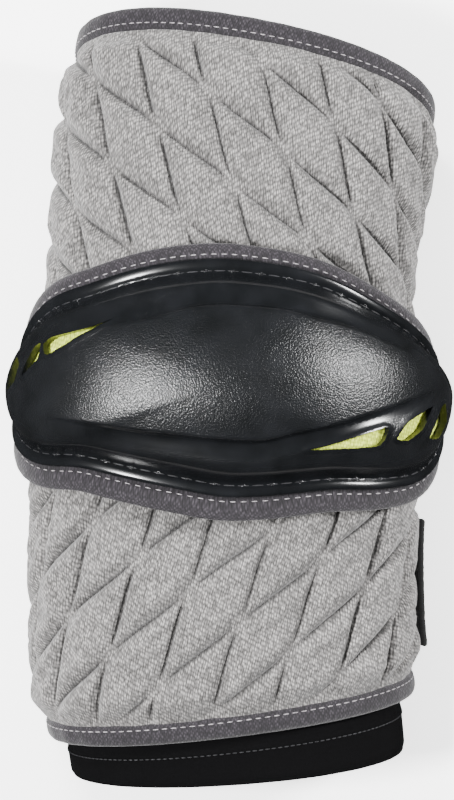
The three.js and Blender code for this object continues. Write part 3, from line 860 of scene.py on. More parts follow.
@dataclass
class Quilting:
    """Two families of seams that cross in long lozenges."""

    hand: Hand
    crossing_along: float
    crossing_round: float
    steep_pitch: float
    slant_pitch: float
    steep_lean: float
    slant_rise: float
    sway: float = 0.012
    shoulder: float = 7.0
    depth: float = 4.2

    def lattice(
        self, round_mm: np.ndarray, along_mm: np.ndarray, length: float
    ) -> tuple[np.ndarray, np.ndarray]:
        """Places in the lattice, whole numbers being seams, which sway to meet at a shallow angle.

        Args:
            round_mm: Millimetres round the pads' face.
            along_mm: Millimetres along from the wrist end.
            length: The sleeve's length.

        Returns:
            Places among the steep and among the slanting seams.
        """
        x = round_mm - self.crossing_round
        y = (along_mm - self.crossing_along * length) * self.hand.value
        steep = (x + self.steep_lean * y) / self.steep_pitch
        slant = (y + self.slant_rise * x) / self.slant_pitch
        p = steep + self.sway * np.sin(2 * np.pi * slant)
        q = slant + self.sway * np.sin(2 * np.pi * steep)
        return p, q

    def distances(self, p: np.ndarray, q: np.ndarray) -> tuple[np.ndarray, np.ndarray]:
        """Millimetres to the nearest steep seam and to the nearest slanting seam.

        Args:
            p: Places among the steep seams, whole numbers being seams.
            q: Places among the slanting seams, likewise.

        Returns:
            The two distances.
        """
        steep = np.abs(p - np.round(p)) * self.steep_pitch / np.hypot(1, self.steep_lean)
        slant = np.abs(q - np.round(q)) * self.slant_pitch / np.hypot(1, self.slant_rise)
        return steep, slant

    def pillow(self, p: np.ndarray, q: np.ndarray) -> np.ndarray:
        """Height of the stuffed lozenges, 0 in a seam and 1 on top, a parabola from each seam.

        Args:
            p: Places among the steep seams, whole numbers being seams.
            q: Places among the slanting seams, likewise.

        Returns:
            Shares from 0 to 1.
        """
        steep, slant = self.distances(p, q)
        rise = [1 - np.clip(1 - d / self.shoulder, 0, 1) ** 2 for d in (steep, slant)]
        return rise[0] * rise[1]

    def crease(self, p: np.ndarray, q: np.ndarray) -> np.ndarray:
        """Sharp part of each seam, deepest halfway between crossings and gone at them.

        Args:
            p: Places among the steep seams, whole numbers being seams.
            q: Places among the slanting seams, likewise.

        Returns:
            Shares from 0 to 1.
        """
        steep, slant = self.distances(p, q)
        on_steep = np.exp(-((steep / 1.2) ** 2)) * np.abs(np.sin(np.pi * q)) ** 0.55
        on_slant = np.exp(-((slant / 1.35) ** 2)) * np.abs(np.sin(np.pi * p)) ** 0.55
        return np.maximum(on_steep, on_slant)


def upsample(coarse: np.ndarray, at: np.ndarray, stops: np.ndarray) -> np.ndarray:
    """Reads a row-wise grid between its rows by a smooth cubic through four neighbours.

    Args:
        coarse: Rows by columns of values.
        at: Places of the new rows.
        stops: Places of the coarse rows.

    Returns:
        The finer grid.
    """
    i = np.clip(np.searchsorted(stops, at, side="right") - 1, 0, len(stops) - 2)
    s = ((at - stops[i]) / (stops[i + 1] - stops[i]))[:, None]
    before, after = np.clip(i - 1, 0, None), np.clip(i + 2, None, len(stops) - 1)
    a, b, c, d = coarse[before], coarse[i], coarse[i + 1], coarse[after]
    return b + 0.5 * s * (c - a + s * (2 * a - 5 * b + 4 * c - d + s * (3 * (b - c) + d - a)))


def billow(
    points: np.ndarray, pinned: np.ndarray, pressure: float, shrink: float = -0.03, frames: int = 20
) -> np.ndarray:
    """Swells a sewn cover with a cloth simulation.

    Args:
        points: Rows by columns by 3, in metres, the cover before it is stuffed.
        pinned: Rows by columns, true where the cover is sewn down.
        pressure: Push of the stuffing.
        shrink: Share by which the cloth shrinks, below 0 for cloth that is cut larger.
        frames: How long the simulation runs.

    Returns:
        The points after the simulation.
    """
    sheet = grid_mesh("cover_trial", points)
    group = sheet.vertex_groups.new(name="sewn")
    group.add(np.flatnonzero(pinned.ravel()).tolist(), 1.0, "REPLACE")
    cloth = sheet.modifiers.new("stuffing", "CLOTH")
    cloth.settings.vertex_group_mass = "sewn"
    cloth.settings.use_pressure = True
    cloth.settings.uniform_pressure_force = pressure
    cloth.settings.shrink_min = shrink
    cloth.settings.effector_weights.gravity = 0.0
    cloth.settings.quality = 5
    cloth.point_cache.frame_start = 1
    cloth.point_cache.frame_end = frames
    for frame in range(1, frames + 1):
        bpy.context.scene.frame_set(frame)
    solved = sheet.evaluated_get(bpy.context.evaluated_depsgraph_get())
    result = np.empty(len(solved.data.vertices) * 3)
    solved.data.vertices.foreach_get("co", result)
    bpy.context.scene.frame_set(1)
    mesh = sheet.data
    bpy.data.objects.remove(sheet)
    bpy.data.meshes.remove(mesh)
    return result.reshape(points.shape)


@dataclass
class QuiltedPad:
    """One of the two foam pads: quilted cover, bound edge and its stitches."""

    surface: ArmSurface
    hand: Hand
    start: float  # share along where the quilted cloth starts
    end: float
    left_deg: float
    right_deg: float
    quilting: Quilting
    thickness: float = 13.0
    edge_thickness: float = 5.5
    roll: float = 10.0
    binding_width: float = 8.2
    binding_shift: float = -0.8
    binding_thickness: float = 6.6
    corner: float = 7.0
    fine_mm: float = 0.8
    trial_mm: float = 2.3
    swell_limit: float = 2.6
    fold_depth: float = 1.5
    stitch_pitch: float = 3.6

    def __post_init__(self) -> None:
        """Works out the pad's edges in millimetres."""
        self.left = float(self.surface.round_of(np.radians(self.left_deg)))
        self.right = float(self.surface.round_of(np.radians(self.right_deg)))
        self.low = self.start * self.surface.length
        self.high = self.end * self.surface.length

    def inwards(self, u: np.ndarray, v: np.ndarray) -> tuple[np.ndarray, np.ndarray]:
        """Distances in from the nearer side and from the bound end."""
        to_end = self.high - v if self.hand is Hand.UPPER else v - self.low
        return np.minimum(u - self.left, self.right - u), to_end

    def cover_height(self, u: np.ndarray, v: np.ndarray, fullness: float) -> np.ndarray:
        """Height of the cover: a rolled edge, times pillows that are as full as asked.

        Args:
            u: Millimetres round the pads' face.
            v: Millimetres along from the wrist end.
            fullness: How full the pillows are, from 0 to 1.

        Returns:
            Heights off the sleeve.
        """
        to_side, to_end = self.inwards(u, v)
        loft = np.minimum(smoothstep(-1, self.roll, to_end), smoothstep(-1, self.roll, to_side))
        p, q = self.quilting.lattice(u, v, self.surface.length)
        full = GAP + self.edge_thickness + (self.thickness - GAP - self.edge_thickness) * loft
        return full - self.quilting.depth * (1 - fullness * self.quilting.pillow(p, q)) * loft**0.6

    def swelling(self, u: np.ndarray, v: np.ndarray) -> np.ndarray:
        """Extra height that the stuffing gives the cover, from a cloth simulation on a coarser grid.

        Args:
            u: Millimetres round the pads' face.
            v: Millimetres along from the wrist end.

        Returns:
            Extra heights.
        """
        rows = np.linspace(self.low, self.high, int((self.high - self.low) / self.trial_mm))
        columns = np.linspace(self.left, self.right, int((self.right - self.left) / self.trial_mm))
        b, a = np.meshgrid(rows, columns, indexing="ij")
        height = self.cover_height(a, b, 0.6)
        points = self.surface.at(a, b, height)
        p, q = self.quilting.lattice(a, b, self.surface.length)
        steep, slant = self.quilting.distances(p, q)
        sewn = (steep < self.trial_mm * 0.55) | (slant < self.trial_mm * 0.55)
        sewn[0] = sewn[-1] = True
        sewn[:, 0] = sewn[:, -1] = True
        solved = billow(points, sewn, pressure=5.0)
        outwards = self.surface.at(a, b, height + 1.0) - points
        outwards /= np.linalg.norm(outwards, axis=-1, keepdims=True)
        rise = np.sum((solved - points) * outwards, axis=-1) / MM
        LOG.info("cover swells %.2f mm at most, %.2f mm on average", rise.max(), rise.mean())
        rise = np.clip(rise, -1.0, self.swell_limit)
        return upsample(upsample(rise, v[:, 0], rows).T, u[0], columns).T

    def build_cover(self, finishes: Finishes) -> bpy.types.Object:
        """The quilted cover: pillows, the simulated swell eased in from the seams, then sharp creases.

        Args:
            finishes: The pad's materials.

        Returns:
            The piece's object.
        """
        rows = np.arange(self.low, self.high + 0.01, self.fine_mm)
        columns = np.arange(self.left, self.right + 0.01, self.fine_mm)
        v, u = np.meshgrid(rows, columns, indexing="ij")
        p, q = self.quilting.lattice(u, v, self.surface.length)
        nearest = np.minimum(*self.quilting.distances(p, q))
        height = self.cover_height(u, v, 0.6) + self.swelling(u, v) * smoothstep(0.2, 3.5, nearest)
        inside = smoothstep(0.0, 9.0, np.minimum(*self.inwards(u, v)))
        crease = self.quilting.crease(p, q) * inside
        height -= self.fold_depth * crease
        height += 0.22 * wobble(u, v, waves=9, size=22.0, seed=5 + self.hand.value) * inside
        floor = np.full_like(u, GAP)
        points = shell_grid(self.surface.at(u, v, height), self.surface.at(u, v, floor))
        uv = np.stack([u, v * self.hand.value], axis=-1)
        name = self.hand.name.lower()
        outside = {"steep": p, "slant": q, "quilted": inside}
        marks = {
            key: shell_grid(value[..., None], value[..., None])[..., 0] for key, value in outside.items()
        }
        cover = grid_mesh(f"{name}_quilted_cover", points, shell_grid(uv, uv), marks)
        dress(cover, finishes.quilt)
        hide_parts(f"{name}_pad")
        return cover

    def edge_path(self, inset: float) -> np.ndarray:
        """Path round the pad's two sides and end with rounded corners, in millimetres round and along.

        Args:
            inset: Distance out from the quilted cloth's edge.

        Returns:
            n by 2 points about a millimetre apart.
        """
        outer_end = self.high + inset if self.hand is Hand.UPPER else self.low - inset
        plain_end = self.low if self.hand is Hand.UPPER else self.high
        left, right = self.left - inset, self.right + inset
        radius = self.corner
        step = np.sign(outer_end - plain_end)
        arc = np.linspace(0, np.pi / 2, 10)
        near, far = radius * (1 - np.cos(arc)), radius * (1 - np.sin(arc))
        first = np.stack([left + near, outer_end - step * far], axis=-1)
        second = np.stack([right - far, outer_end - step * near], axis=-1)
        corners = np.concatenate([[[left, plain_end]], first, second, [[right, plain_end]]])
        lengths = lengths_along(corners)
        stops = np.linspace(0, lengths[-1], int(lengths[-1]))
        return np.stack([np.interp(stops, lengths, corners[:, k]) for k in (0, 1)], axis=-1)

    def build_binding(self, finishes: Finishes) -> bpy.types.Object:
        """The binding: a flattened round section, swept along the pad's edge, closed at both ends.

        Args:
            finishes: The pad's materials.

        Returns:
            The piece's object.
        """
        path = self.edge_path(self.binding_width / 2 + self.binding_shift)
        tangent = np.gradient(path, axis=0)
        tangent /= np.linalg.norm(tangent, axis=1, keepdims=True)
        normal = np.stack([-tangent[:, 1], tangent[:, 0]], axis=-1)
        angle = np.linspace(0, 2 * np.pi, 29)
        flatness = 0.72
        across = rounded(angle, np.cos, flatness) * self.binding_width / 2
        tall = rounded(angle, np.sin, flatness) * self.binding_thickness / 2
        grow = np.ones(len(path))
        grow[0] = grow[-1] = 0.0
        grow[1] = grow[-2] = 0.8
        spread = path[:, None, :] + normal[:, None, :] * (across * grow[:, None])[..., None]
        ripple = 0.18 * wobble(np.arange(len(path))[:, None] * 1.0, across[None], 6, 14.0, 3)
        height = GAP + self.binding_thickness / 2 + (tall + ripple * (tall > 0)) * grow[:, None]
        points = self.surface.at(spread[..., 0], spread[..., 1], height)
        around = np.cumsum(np.concatenate([[0], np.hypot(np.diff(across), np.diff(tall))]))
        uv = np.stack(np.meshgrid(np.arange(len(path)) * 1.0, around, indexing="ij"), axis=-1)
        name = self.hand.name.lower()
        binding = grid_mesh(f"{name}_edge_binding", points, uv)
        dress(binding, finishes.tape)
        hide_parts(f"{name}_binding")
        self.build_stitches(finishes, name)
        return binding

    def build_stitches(self, finishes: Finishes, name: str) -> None:
        """A row of short pale stitches on the binding, near its inner edge.

        Args:
            finishes: The pad's materials.
            name: The pad's name, upper or lower.
        """
        path = self.edge_path(self.binding_width * 0.26 + self.binding_shift)
        step = np.arange(3, len(path) - 3, self.stitch_pitch)
        places = np.stack([np.interp(step, np.arange(len(path)), path[:, k]) for k in (0, 1)], axis=-1)
        top = GAP + self.binding_thickness * 0.985
        low = self.surface.at(places[:, 0], places[:, 1], np.full(len(places), top))
        high = self.surface.at(places[:, 0], places[:, 1], np.full(len(places), top + 1))
        row = scatter(f"{name}_binding_stitches", bead(2.3, 0.5, 0.45), low, frames_on(low, high))
        dress(row, finishes.pale_thread)


@dataclass
class ElbowCap:
    """The moulded cap: a creased, vented dome on a stitched flange, its bound rim and its liner."""

    surface: ArmSurface
    at_share: float = 0.535
    height: float = 78.0
    turn_deg: float = 92.0
    wall: float = 2.4
    dome: float = 17.0
    flange: float = 5.0
    rim_upper: float = 4.8
    rim_lower: float = 7.8
    rim_thickness: float = 3.6
    end_lift: float = 1.5
    pad_thickness: float = 13.0
    roundness: float = 1.6
    hole_pitch: float = 10.0
    crease_depth: float = 2.2
    crease_run: float = 8.5
    # reach from the left end to the right end, and the fullness of the upper and lower edge there
    plan: tuple[tuple[float, ...], ...] = (
        (-1.0, 1.2, 1.3),
        (-0.75, 1.19, 1.13),
        (-0.5, 1.06, 0.86),
        (-0.2, 1.07, 0.9),
        (0.0, 1.07, 0.97),
        (0.35, 1.12, 1.06),
        (0.6, 1.07, 1.36),
        (0.8, 1.08, 1.7),
        (1.0, 1.1, 1.75),
    )
    # reach, rise of the crease and its strength, both as shares of the dome
    upper_crease: tuple[tuple[float, ...], ...] = (
        (-0.62, 0.43, 0.0),
        (-0.49, 0.5, 0.25),
        (-0.29, 0.58, 0.5),
        (-0.1, 0.72, 0.85),
        (0.0, 0.745, 0.95),
        (0.16, 0.735, 1.0),
        (0.3, 0.665, 0.8),
        (0.43, 0.6, 0.6),
        (0.54, 0.49, 0.3),
        (0.66, 0.37, 0.0),
    )
    lower_crease: tuple[tuple[float, ...], ...] = (
        (-0.64, -0.29, 0.0),
        (-0.55, -0.333, 0.3),
        (-0.41, -0.393, 0.6),
        (-0.29, -0.447, 0.8),
        (-0.17, -0.484, 1.0),
        (0.0, -0.535, 1.2),
        (0.1, -0.547, 1.3),
        (0.23, -0.465, 1.1),
        (0.35, -0.381, 0.9),
        (0.45, -0.28, 0.7),
        (0.535, -0.19, 0.5),
        (0.67, -0.03, 0.25),
        (0.75, 0.06, 0.0),
    )
    # corners of the vents, as shares of the dome's reach and rise from its crown
    vents: tuple[tuple[tuple[float, float], ...], ...] = (
        ((-0.62, 0.24), (-0.64, 0.37), (-0.61, 0.43), (-0.47, 0.5), (-0.37, 0.62)),
        ((-0.73, 0.06), (-0.72, 0.16), (-0.68, 0.35), (-0.65, 0.39), (-0.65, 0.23)),
        ((-0.83, -0.06), (-0.83, 0.1), (-0.78, 0.28), (-0.75, 0.2), (-0.77, 0.02)),
        ((0.25, -0.65), (0.32, -0.61), (0.53, -0.38), (0.5, -0.62)),
        ((0.55, -0.54), (0.59, -0.35), (0.71, -0.14), (0.66, -0.43), (0.6, -0.56)),
        ((0.69, -0.54), (0.75, -0.18), (0.78, -0.11), (0.8, -0.34), (0.75, -0.54)),
    )

    def __post_init__(self) -> None:
        """Works out the dome's half sizes and its curves."""
        self.reach = float(self.surface.round_of(np.radians(self.turn_deg))) - self.flange
        self.rise = self.height / 2 - self.flange
        plan = np.array(self.plan)
        self.upper_full = ColumnCurve(plan[:, 0], plan[:, 1], PLAN_BLUR)
        self.lower_full = ColumnCurve(plan[:, 0], plan[:, 2], PLAN_BLUR)

    def girth(self, angle: np.ndarray) -> np.ndarray:
        """Length of a spoke's direction as the superellipse measures it."""
        n = self.roundness
        return (np.abs(np.cos(angle)) ** n + np.abs(np.sin(angle)) ** n) ** (1 / n)

    def groove(self, angle: np.ndarray) -> np.ndarray:
        """Outline of the dome: a superellipse, its rise scaled by the plan's fullness, in millimetres.

        Args:
            angle: Directions of the spokes.

        Returns:
            Plan places.
        """
        c, s, size = np.cos(angle), np.sin(angle), self.girth(angle)
        full = np.where(s > 0, self.upper_full(c / size), self.lower_full(c / size))
        return np.stack([c * self.reach / size, s * self.rise * full / size], axis=-1)

    def place(self, angle: np.ndarray, radius: np.ndarray, widen: np.ndarray) -> np.ndarray:
        """Plan place: along a spoke to a share of the outline, then square out from the outline.

        Args:
            angle: Directions of the spokes.
            radius: Shares of the outline along them.
            widen: Distances out from the outline.

        Returns:
            Plan places.
        """
        run = self.groove(angle + 0.02) - self.groove(angle - 0.02)
        run /= np.linalg.norm(run, axis=-1, keepdims=True)
        square = np.stack([run[..., 1], -run[..., 0]], axis=-1)
        return self.groove(angle) * radius[..., None] + square * widen[..., None]

    def on_surface(self, plan: np.ndarray, out: np.ndarray) -> np.ndarray:
        """Points in metres for plan places and heights off the sleeve."""
        return self.surface.at(plan[..., 0], self.at_share * self.surface.length + plan[..., 1], out)

    def lift(self, plan: np.ndarray) -> np.ndarray:
        """Extra thickness of the rim towards the cap's ends, by the fourth power of the reach."""
        return self.end_lift * np.minimum(1.2, (plan[..., 0] / self.reach) ** 2) ** 2

    def seat(self, plan: np.ndarray) -> np.ndarray:
        """Height of the flange's underside."""
        return self.pad_thickness + 2 * GAP + self.rim_thickness + self.lift(plan)

    def dome_rise(self, angle: np.ndarray, radius: np.ndarray) -> np.ndarray:
        """Rise of the dome's inner face over the flange: a short wall, then a bowl up to the crown.

        The bowl's contours are ellipses inside and take the outline's own shape towards the edge.

        Args:
            angle: Directions of the spokes.
            radius: Shares of the outline along them.

        Returns:
            The rise in millimetres.
        """
        own_shape = smoothstep(0.6, 1.0, radius)
        squared = radius**2 * (own_shape + (1 - own_shape) / self.girth(angle) ** 2)
        return self.dome * (0.22 * smoothstep(0, 0.13, 1 - radius) + 0.78 * np.clip(1 - squared, 0, 1))

    def creases(self, plan: np.ndarray) -> np.ndarray:
        """Depth of the two creases: a sharp edge towards the crown, then a slow rise outwards.

        Args:
            plan: Places in the cap's plan, in millimetres.

        Returns:
            Depths in millimetres.
        """
        total = np.zeros(plan.shape[:-1])
        reach = plan[..., 0] / self.reach
        for rows, side in ((self.upper_crease, 1.0), (self.lower_crease, -1.0)):
            table = np.array(rows)
            line = ColumnCurve(table[:, 0], table[:, 1])(reach) * self.rise
            strength = ColumnCurve(table[:, 0], table[:, 2])(reach)
            outwards = (plan[..., 1] - line) * side
            drop = smoothstep(-0.5, 1.1, outwards) * (1 - smoothstep(0.8, self.crease_run, outwards))
            total += self.crease_depth * strength * drop
        return total

    def vent_outline(self, corners: tuple[tuple[float, float], ...]) -> np.ndarray:
        """A vent's outline in millimetres, its corners rounded by cutting them twice.

        Args:
            corners: The vent's corners, as shares.

        Returns:
            The outline's points.
        """
        loop = np.array(corners) * (self.reach, self.rise)
        for cut in (0.12, 0.25):
            following = np.roll(loop, -1, axis=0)
            part = (following - loop) * cut
            loop = np.stack([loop + part, following - part], axis=1).reshape(-1, 2)
        return loop

    def vent_lip(self, plan: np.ndarray) -> np.ndarray:
        """Raised lip round the vents, from the distance to each side of each outline.

        Args:
            plan: Places in the cap's plan, in millimetres.

        Returns:
            Heights in millimetres.
        """
        lip = np.zeros(plan.shape[:-1])
        for corners in self.vents:
            loop = self.vent_outline(corners)
            low, high = loop.min(axis=0) - 3, loop.max(axis=0) + 3
            near = np.all((plan > low) & (plan < high), axis=-1)
            spots = plan[near]
            start, run = loop, np.roll(loop, -1, axis=0) - loop
            share = np.einsum("nkd,kd->nk", spots[:, None] - start, run) / np.sum(run * run, axis=1)
            nearest = start + np.clip(share, 0, 1)[..., None] * run
            distance = np.linalg.norm(spots[:, None] - nearest, axis=-1).min(axis=1)
            lip[near] = np.maximum(lip[near], 0.55 * (1 - smoothstep(0.2, 2.0, distance)))
        return lip

    def build_shell(self, finishes: Finishes) -> bpy.types.Object:
        """The shell: dome, creases, lips and stitched groove on a polar grid, then its vents are cut.

        Args:
            finishes: The pad's materials.

        Returns:
            The piece's object.
        """
        inner_rings = np.concatenate([np.linspace(0, 0.86, 66), np.linspace(0.875, 1.0, 12)])
        flange_rings = np.array([0.35, 0.8, 1.25, 1.7, 2.6, 3.6, 4.2, 4.6, 4.85, 5.0])
        radius = np.concatenate([inner_rings, np.ones(len(flange_rings))])
        widen = np.concatenate([np.zeros(len(inner_rings)), flange_rings * self.flange / 5])
        angle = np.linspace(0, 2 * np.pi, 421)
        r, a = np.meshgrid(radius, angle, indexing="ij")
        w = np.broadcast_to(widen[:, None], r.shape)
        plan = self.place(a, r, w)
        base = self.seat(plan) + self.dome_rise(a, r)
        along_wall = (r - 1) * np.linalg.norm(self.groove(a), axis=-1) + w
        channel = 0.75 * np.exp(-(((along_wall - 0.9) / 0.8) ** 2))
        edge = self.wall * 0.42 * np.clip((w - 0.82 * self.flange) / (0.18 * self.flange), 0, 1) ** 2
        creases, lip = self.creases(plan), self.vent_lip(plan)
        top = base + self.wall - creases + lip - channel - edge
        under = base + edge - 0.85 * creases
        points = np.concatenate([self.on_surface(plan, top), self.on_surface(plan, under)[::-1]])
        polished = (1 - np.clip(creases / 0.8, 0, 1)) * (1 - np.clip(lip * 3, 0, 1))
        grain = (1 - smoothstep(0.8, 0.93, r)) * polished
        marks = {"grain": np.concatenate([grain, grain[::-1]])}
        shell = grid_mesh("moulded_elbow_cap", points, None, marks)
        self.cut_vents(shell)
        dress(shell, finishes.plastic)
        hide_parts("elbow_cap")
        return shell

    def cut_vents(self, shell: bpy.types.Object) -> None:
        """Cuts the vents with one mesh of prisms and keeps the result as plain faces.

        Args:
            shell: The cap's shell, changed in place.
        """
        points: list[np.ndarray] = []
        faces: list[list[int]] = []
        total = 0
        for corners in self.vents:
            loop = self.vent_outline(corners)
            n = len(loop)
            low = self.on_surface(loop, np.full(n, self.pad_thickness + 1.0))
            high = self.on_surface(loop, np.full(n, self.pad_thickness + 30.0))
            points += [low, high]
            ids = np.arange(n) + total
            after = np.roll(ids, -1)
            faces += np.stack([ids, after, after + n, ids + n], axis=1).tolist()
            faces += [ids[::-1].tolist(), (ids + n).tolist()]
            total += 2 * n
        mesh = bpy.data.meshes.new("vent_cutters")
        mesh.from_pydata(np.concatenate(points), [], faces)
        edit = bmesh.new()
        edit.from_mesh(mesh)
        bmesh.ops.recalc_face_normals(edit, faces=edit.faces)
        edit.to_mesh(mesh)
        edit.free()
        cutter = link_object("vent_cutters", mesh)
        cut = shell.modifiers.new("vents", "BOOLEAN")
        cut.operation = "DIFFERENCE"
        cut.solver = "EXACT"
        cut.object = cutter
        depsgraph = bpy.context.evaluated_depsgraph_get()
        result = bpy.data.meshes.new_from_object(shell.evaluated_get(depsgraph))
        shell.modifiers.clear()
        shell.data = result
        bpy.data.objects.remove(cutter)
        bpy.data.meshes.remove(mesh)
        result.set_sharp_from_angle(angle=np.radians(40))

    def build_rim(self, finishes: Finishes) -> bpy.types.Object:
        """The padded rim: a flattened round section swept round the outline, wider below than above.

        Args:
            finishes: The pad's materials.

        Returns:
            The piece's object.
        """
        a, t = np.meshgrid(np.linspace(0, 2 * np.pi, 361), np.linspace(0, 2 * np.pi, 29), indexing="ij")
        width = (self.rim_upper + self.rim_lower - (self.rim_lower - self.rim_upper) * np.sin(a)) / 2
        half = (self.flange + width + 0.4) / 2
        across = half + rounded(t, np.cos, 0.6) * half
        plan = self.place(a, np.ones_like(a), across)
        thick = self.rim_thickness + self.lift(plan)
        tall = rounded(t, np.sin, 0.55)
        soft = 0.5 + 0.5 * tall + 0.16 * (tall > 0) * smoothstep(0.5, 0.75, across / (2 * half))
        round_mm = np.linalg.norm(self.groove(a), axis=-1) * a
        puckers = 0.12 * wobble(round_mm, across, 7, 9.0, 12) * (tall > 0)
        points = self.on_surface(plan, self.pad_thickness + GAP + thick * soft + puckers)
        length = lengths_along(self.groove(a[:, 0]))
        uv = np.stack([np.broadcast_to(length[:, None], a.shape), t / (2 * np.pi) * 34], axis=-1)
        rim = grid_mesh("bound_cap_rim", points, uv)
        dress(rim, finishes.tape)
        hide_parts("cap_rim")
        return rim

    def ring(self, widen: float, out: float, pitch: float) -> tuple[np.ndarray, np.ndarray]:
        """Even places round the outline, with their axes.

        Args:
            widen: Distance out from the groove.
            out: Height over the flange's underside.
            pitch: Spacing.

        Returns:
            Places and axes for scatter.
        """
        angle = np.linspace(0, 2 * np.pi, 2001)
        wide = np.full(len(angle), widen)
        plan = self.place(angle, np.ones(len(angle)), wide)
        length = lengths_along(plan)
        count = int(round(length[-1] / pitch))
        at = np.interp(np.arange(count) * length[-1] / count, length, angle)
        plan = self.place(at, np.ones(count), np.full(count, widen))
        low = self.on_surface(plan, self.seat(plan) + out)
        high = self.on_surface(plan, self.seat(plan) + out + 1)
        return low, frames_on(low, high)

    def build_stitching(self, finishes: Finishes) -> None:
        """Eyelets and black thread in the groove, and pale stitches on the rim beside the plastic.

        Args:
            finishes: The pad's materials.
        """
        radius = np.array([0.0, 0.35, 0.5, 0.7, 0.85, 0.85, 0.0])
        height = np.array([-0.5, -0.45, 0.12, 0.2, 0.02, -0.5, -0.5])
        height, t = np.meshgrid(height, np.linspace(0, 2 * np.pi, 11), indexing="ij")
        eyelet = np.stack([radius[:, None] * np.cos(t), radius[:, None] * np.sin(t), height], axis=-1)
        low, axes = self.ring(0.9, self.wall - 0.45, self.hole_pitch)
        dress(scatter("stitch_eyelets", eyelet, low, axes), finishes.plastic)
        low, axes = self.ring(0.9, self.wall - 0.6, self.hole_pitch / 2)
        thread = scatter("groove_thread", bead(4.4, 0.55, 0.45), low, axes)
        dress(thread, finishes.black_thread)
        low, axes = self.ring(self.flange + 1.5, -GAP + 0.36, 3.8)
        stitches = scatter("rim_stitches", bead(2.3, 0.5, 0.45), low, axes)
        dress(stitches, finishes.pale_thread)

    def build_liner(self, finishes: Finishes) -> bpy.types.Object:
        """The foam under the dome: the dome's own inner shape a millimetre lower, flat underneath.

        Args:
            finishes: The pad's materials.

        Returns:
            The piece's object.
        """
        r, a = np.meshgrid(np.linspace(0, 0.9, 40), np.linspace(0, 2 * np.pi, 181), indexing="ij")
        plan = self.place(a, r, np.zeros_like(r))
        top = self.seat(plan) + self.dome_rise(a, r) - 0.85 * self.creases(plan) - 1.2
        bottom = np.full_like(top, self.pad_thickness + 3 * GAP)
        points = np.concatenate([self.on_surface(plan, top), self.on_surface(plan, bottom)[::-1]])
        liner = grid_mesh("cap_foam_liner", points, np.concatenate([plan, plan[::-1]]))
        dress(liner, finishes.liner)
        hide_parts("cap_liner")
        return liner


@dataclass
class Sleeve:
    """The stretch sleeve: an open knit tube with a folded, stitched hem at the wrist."""

    surface: ArmSurface
    wall: float = 2.0
    hem: float = 13.0
    fold: float = 0.8
    flat_share: float = 0.83  # the flat tube's width over the circumference at the pads' face

    def build(self, finishes: Finishes) -> bpy.types.Object:
        """The tube: the inner and outer face of the arm's surface, with a folded hem at the wrist.

        Args:
            finishes: The pad's materials.

        Returns:
            The piece's object.
        """
        hem_rows = [np.linspace(0, 2, 5), np.linspace(3, 11, 7), np.linspace(12.2, 14.2, 7)]
        along = [*hem_rows, np.arange(16, self.surface.length, 2.2), [self.surface.length]]
        along = np.concatenate(along)
        turns = self.surface.turn_of(np.linspace(-self.surface.arc[-1], self.surface.arc[-1], 181))
        v, t = np.meshgrid(along, turns, indexing="ij")
        u = self.surface.round_of(t)
        hem = 1 - smoothstep(self.hem - 0.8, self.hem + 0.6, v)
        edge = np.exp(-((v / 1.2) ** 2))
        pucker = np.sin(2 * np.pi * u / 5.5) * np.exp(-(((v - self.hem) / 3.0) ** 2))
        outer = 0.25 * hem - 0.7 * edge + 0.12 * pucker + 0.1 * wobble(u, v, 6, 30.0, 8) * hem
        inner = -self.wall - self.fold * hem + 0.9 * edge * hem
        share = v / self.surface.length
        outside = self.surface.point(share, t, outer)
        inside = self.surface.point(share, t, inner)
        points = np.concatenate([outside, inside[::-1], outside[:1]])
        uv = np.stack([u, v], axis=-1)
        tube = grid_mesh("stretch_sleeve", points, np.concatenate([uv, uv[::-1], uv[:1]]))
        dress(tube, finishes.knit)
        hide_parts("inner_sleeve")
        self.build_hem_stitches(finishes)
        return tube

    def build_hem_stitches(self, finishes: Finishes) -> None:
        """A line of black stitches along the top of the hem.

        Args:
            finishes: The pad's materials.
        """
        limit = float(self.surface.arc[-1])
        u = np.arange(-limit, limit, 2.6)
        v = np.full_like(u, self.hem - 1.6)
        low = self.surface.at(u, v, np.full_like(u, 0.35))
        high = self.surface.at(u, v, np.full_like(u, 1.35))
        row = scatter("hem_stitches", bead(1.8, 0.5, 0.5), low, frames_on(low, high))
        dress(row, finishes.black_thread)


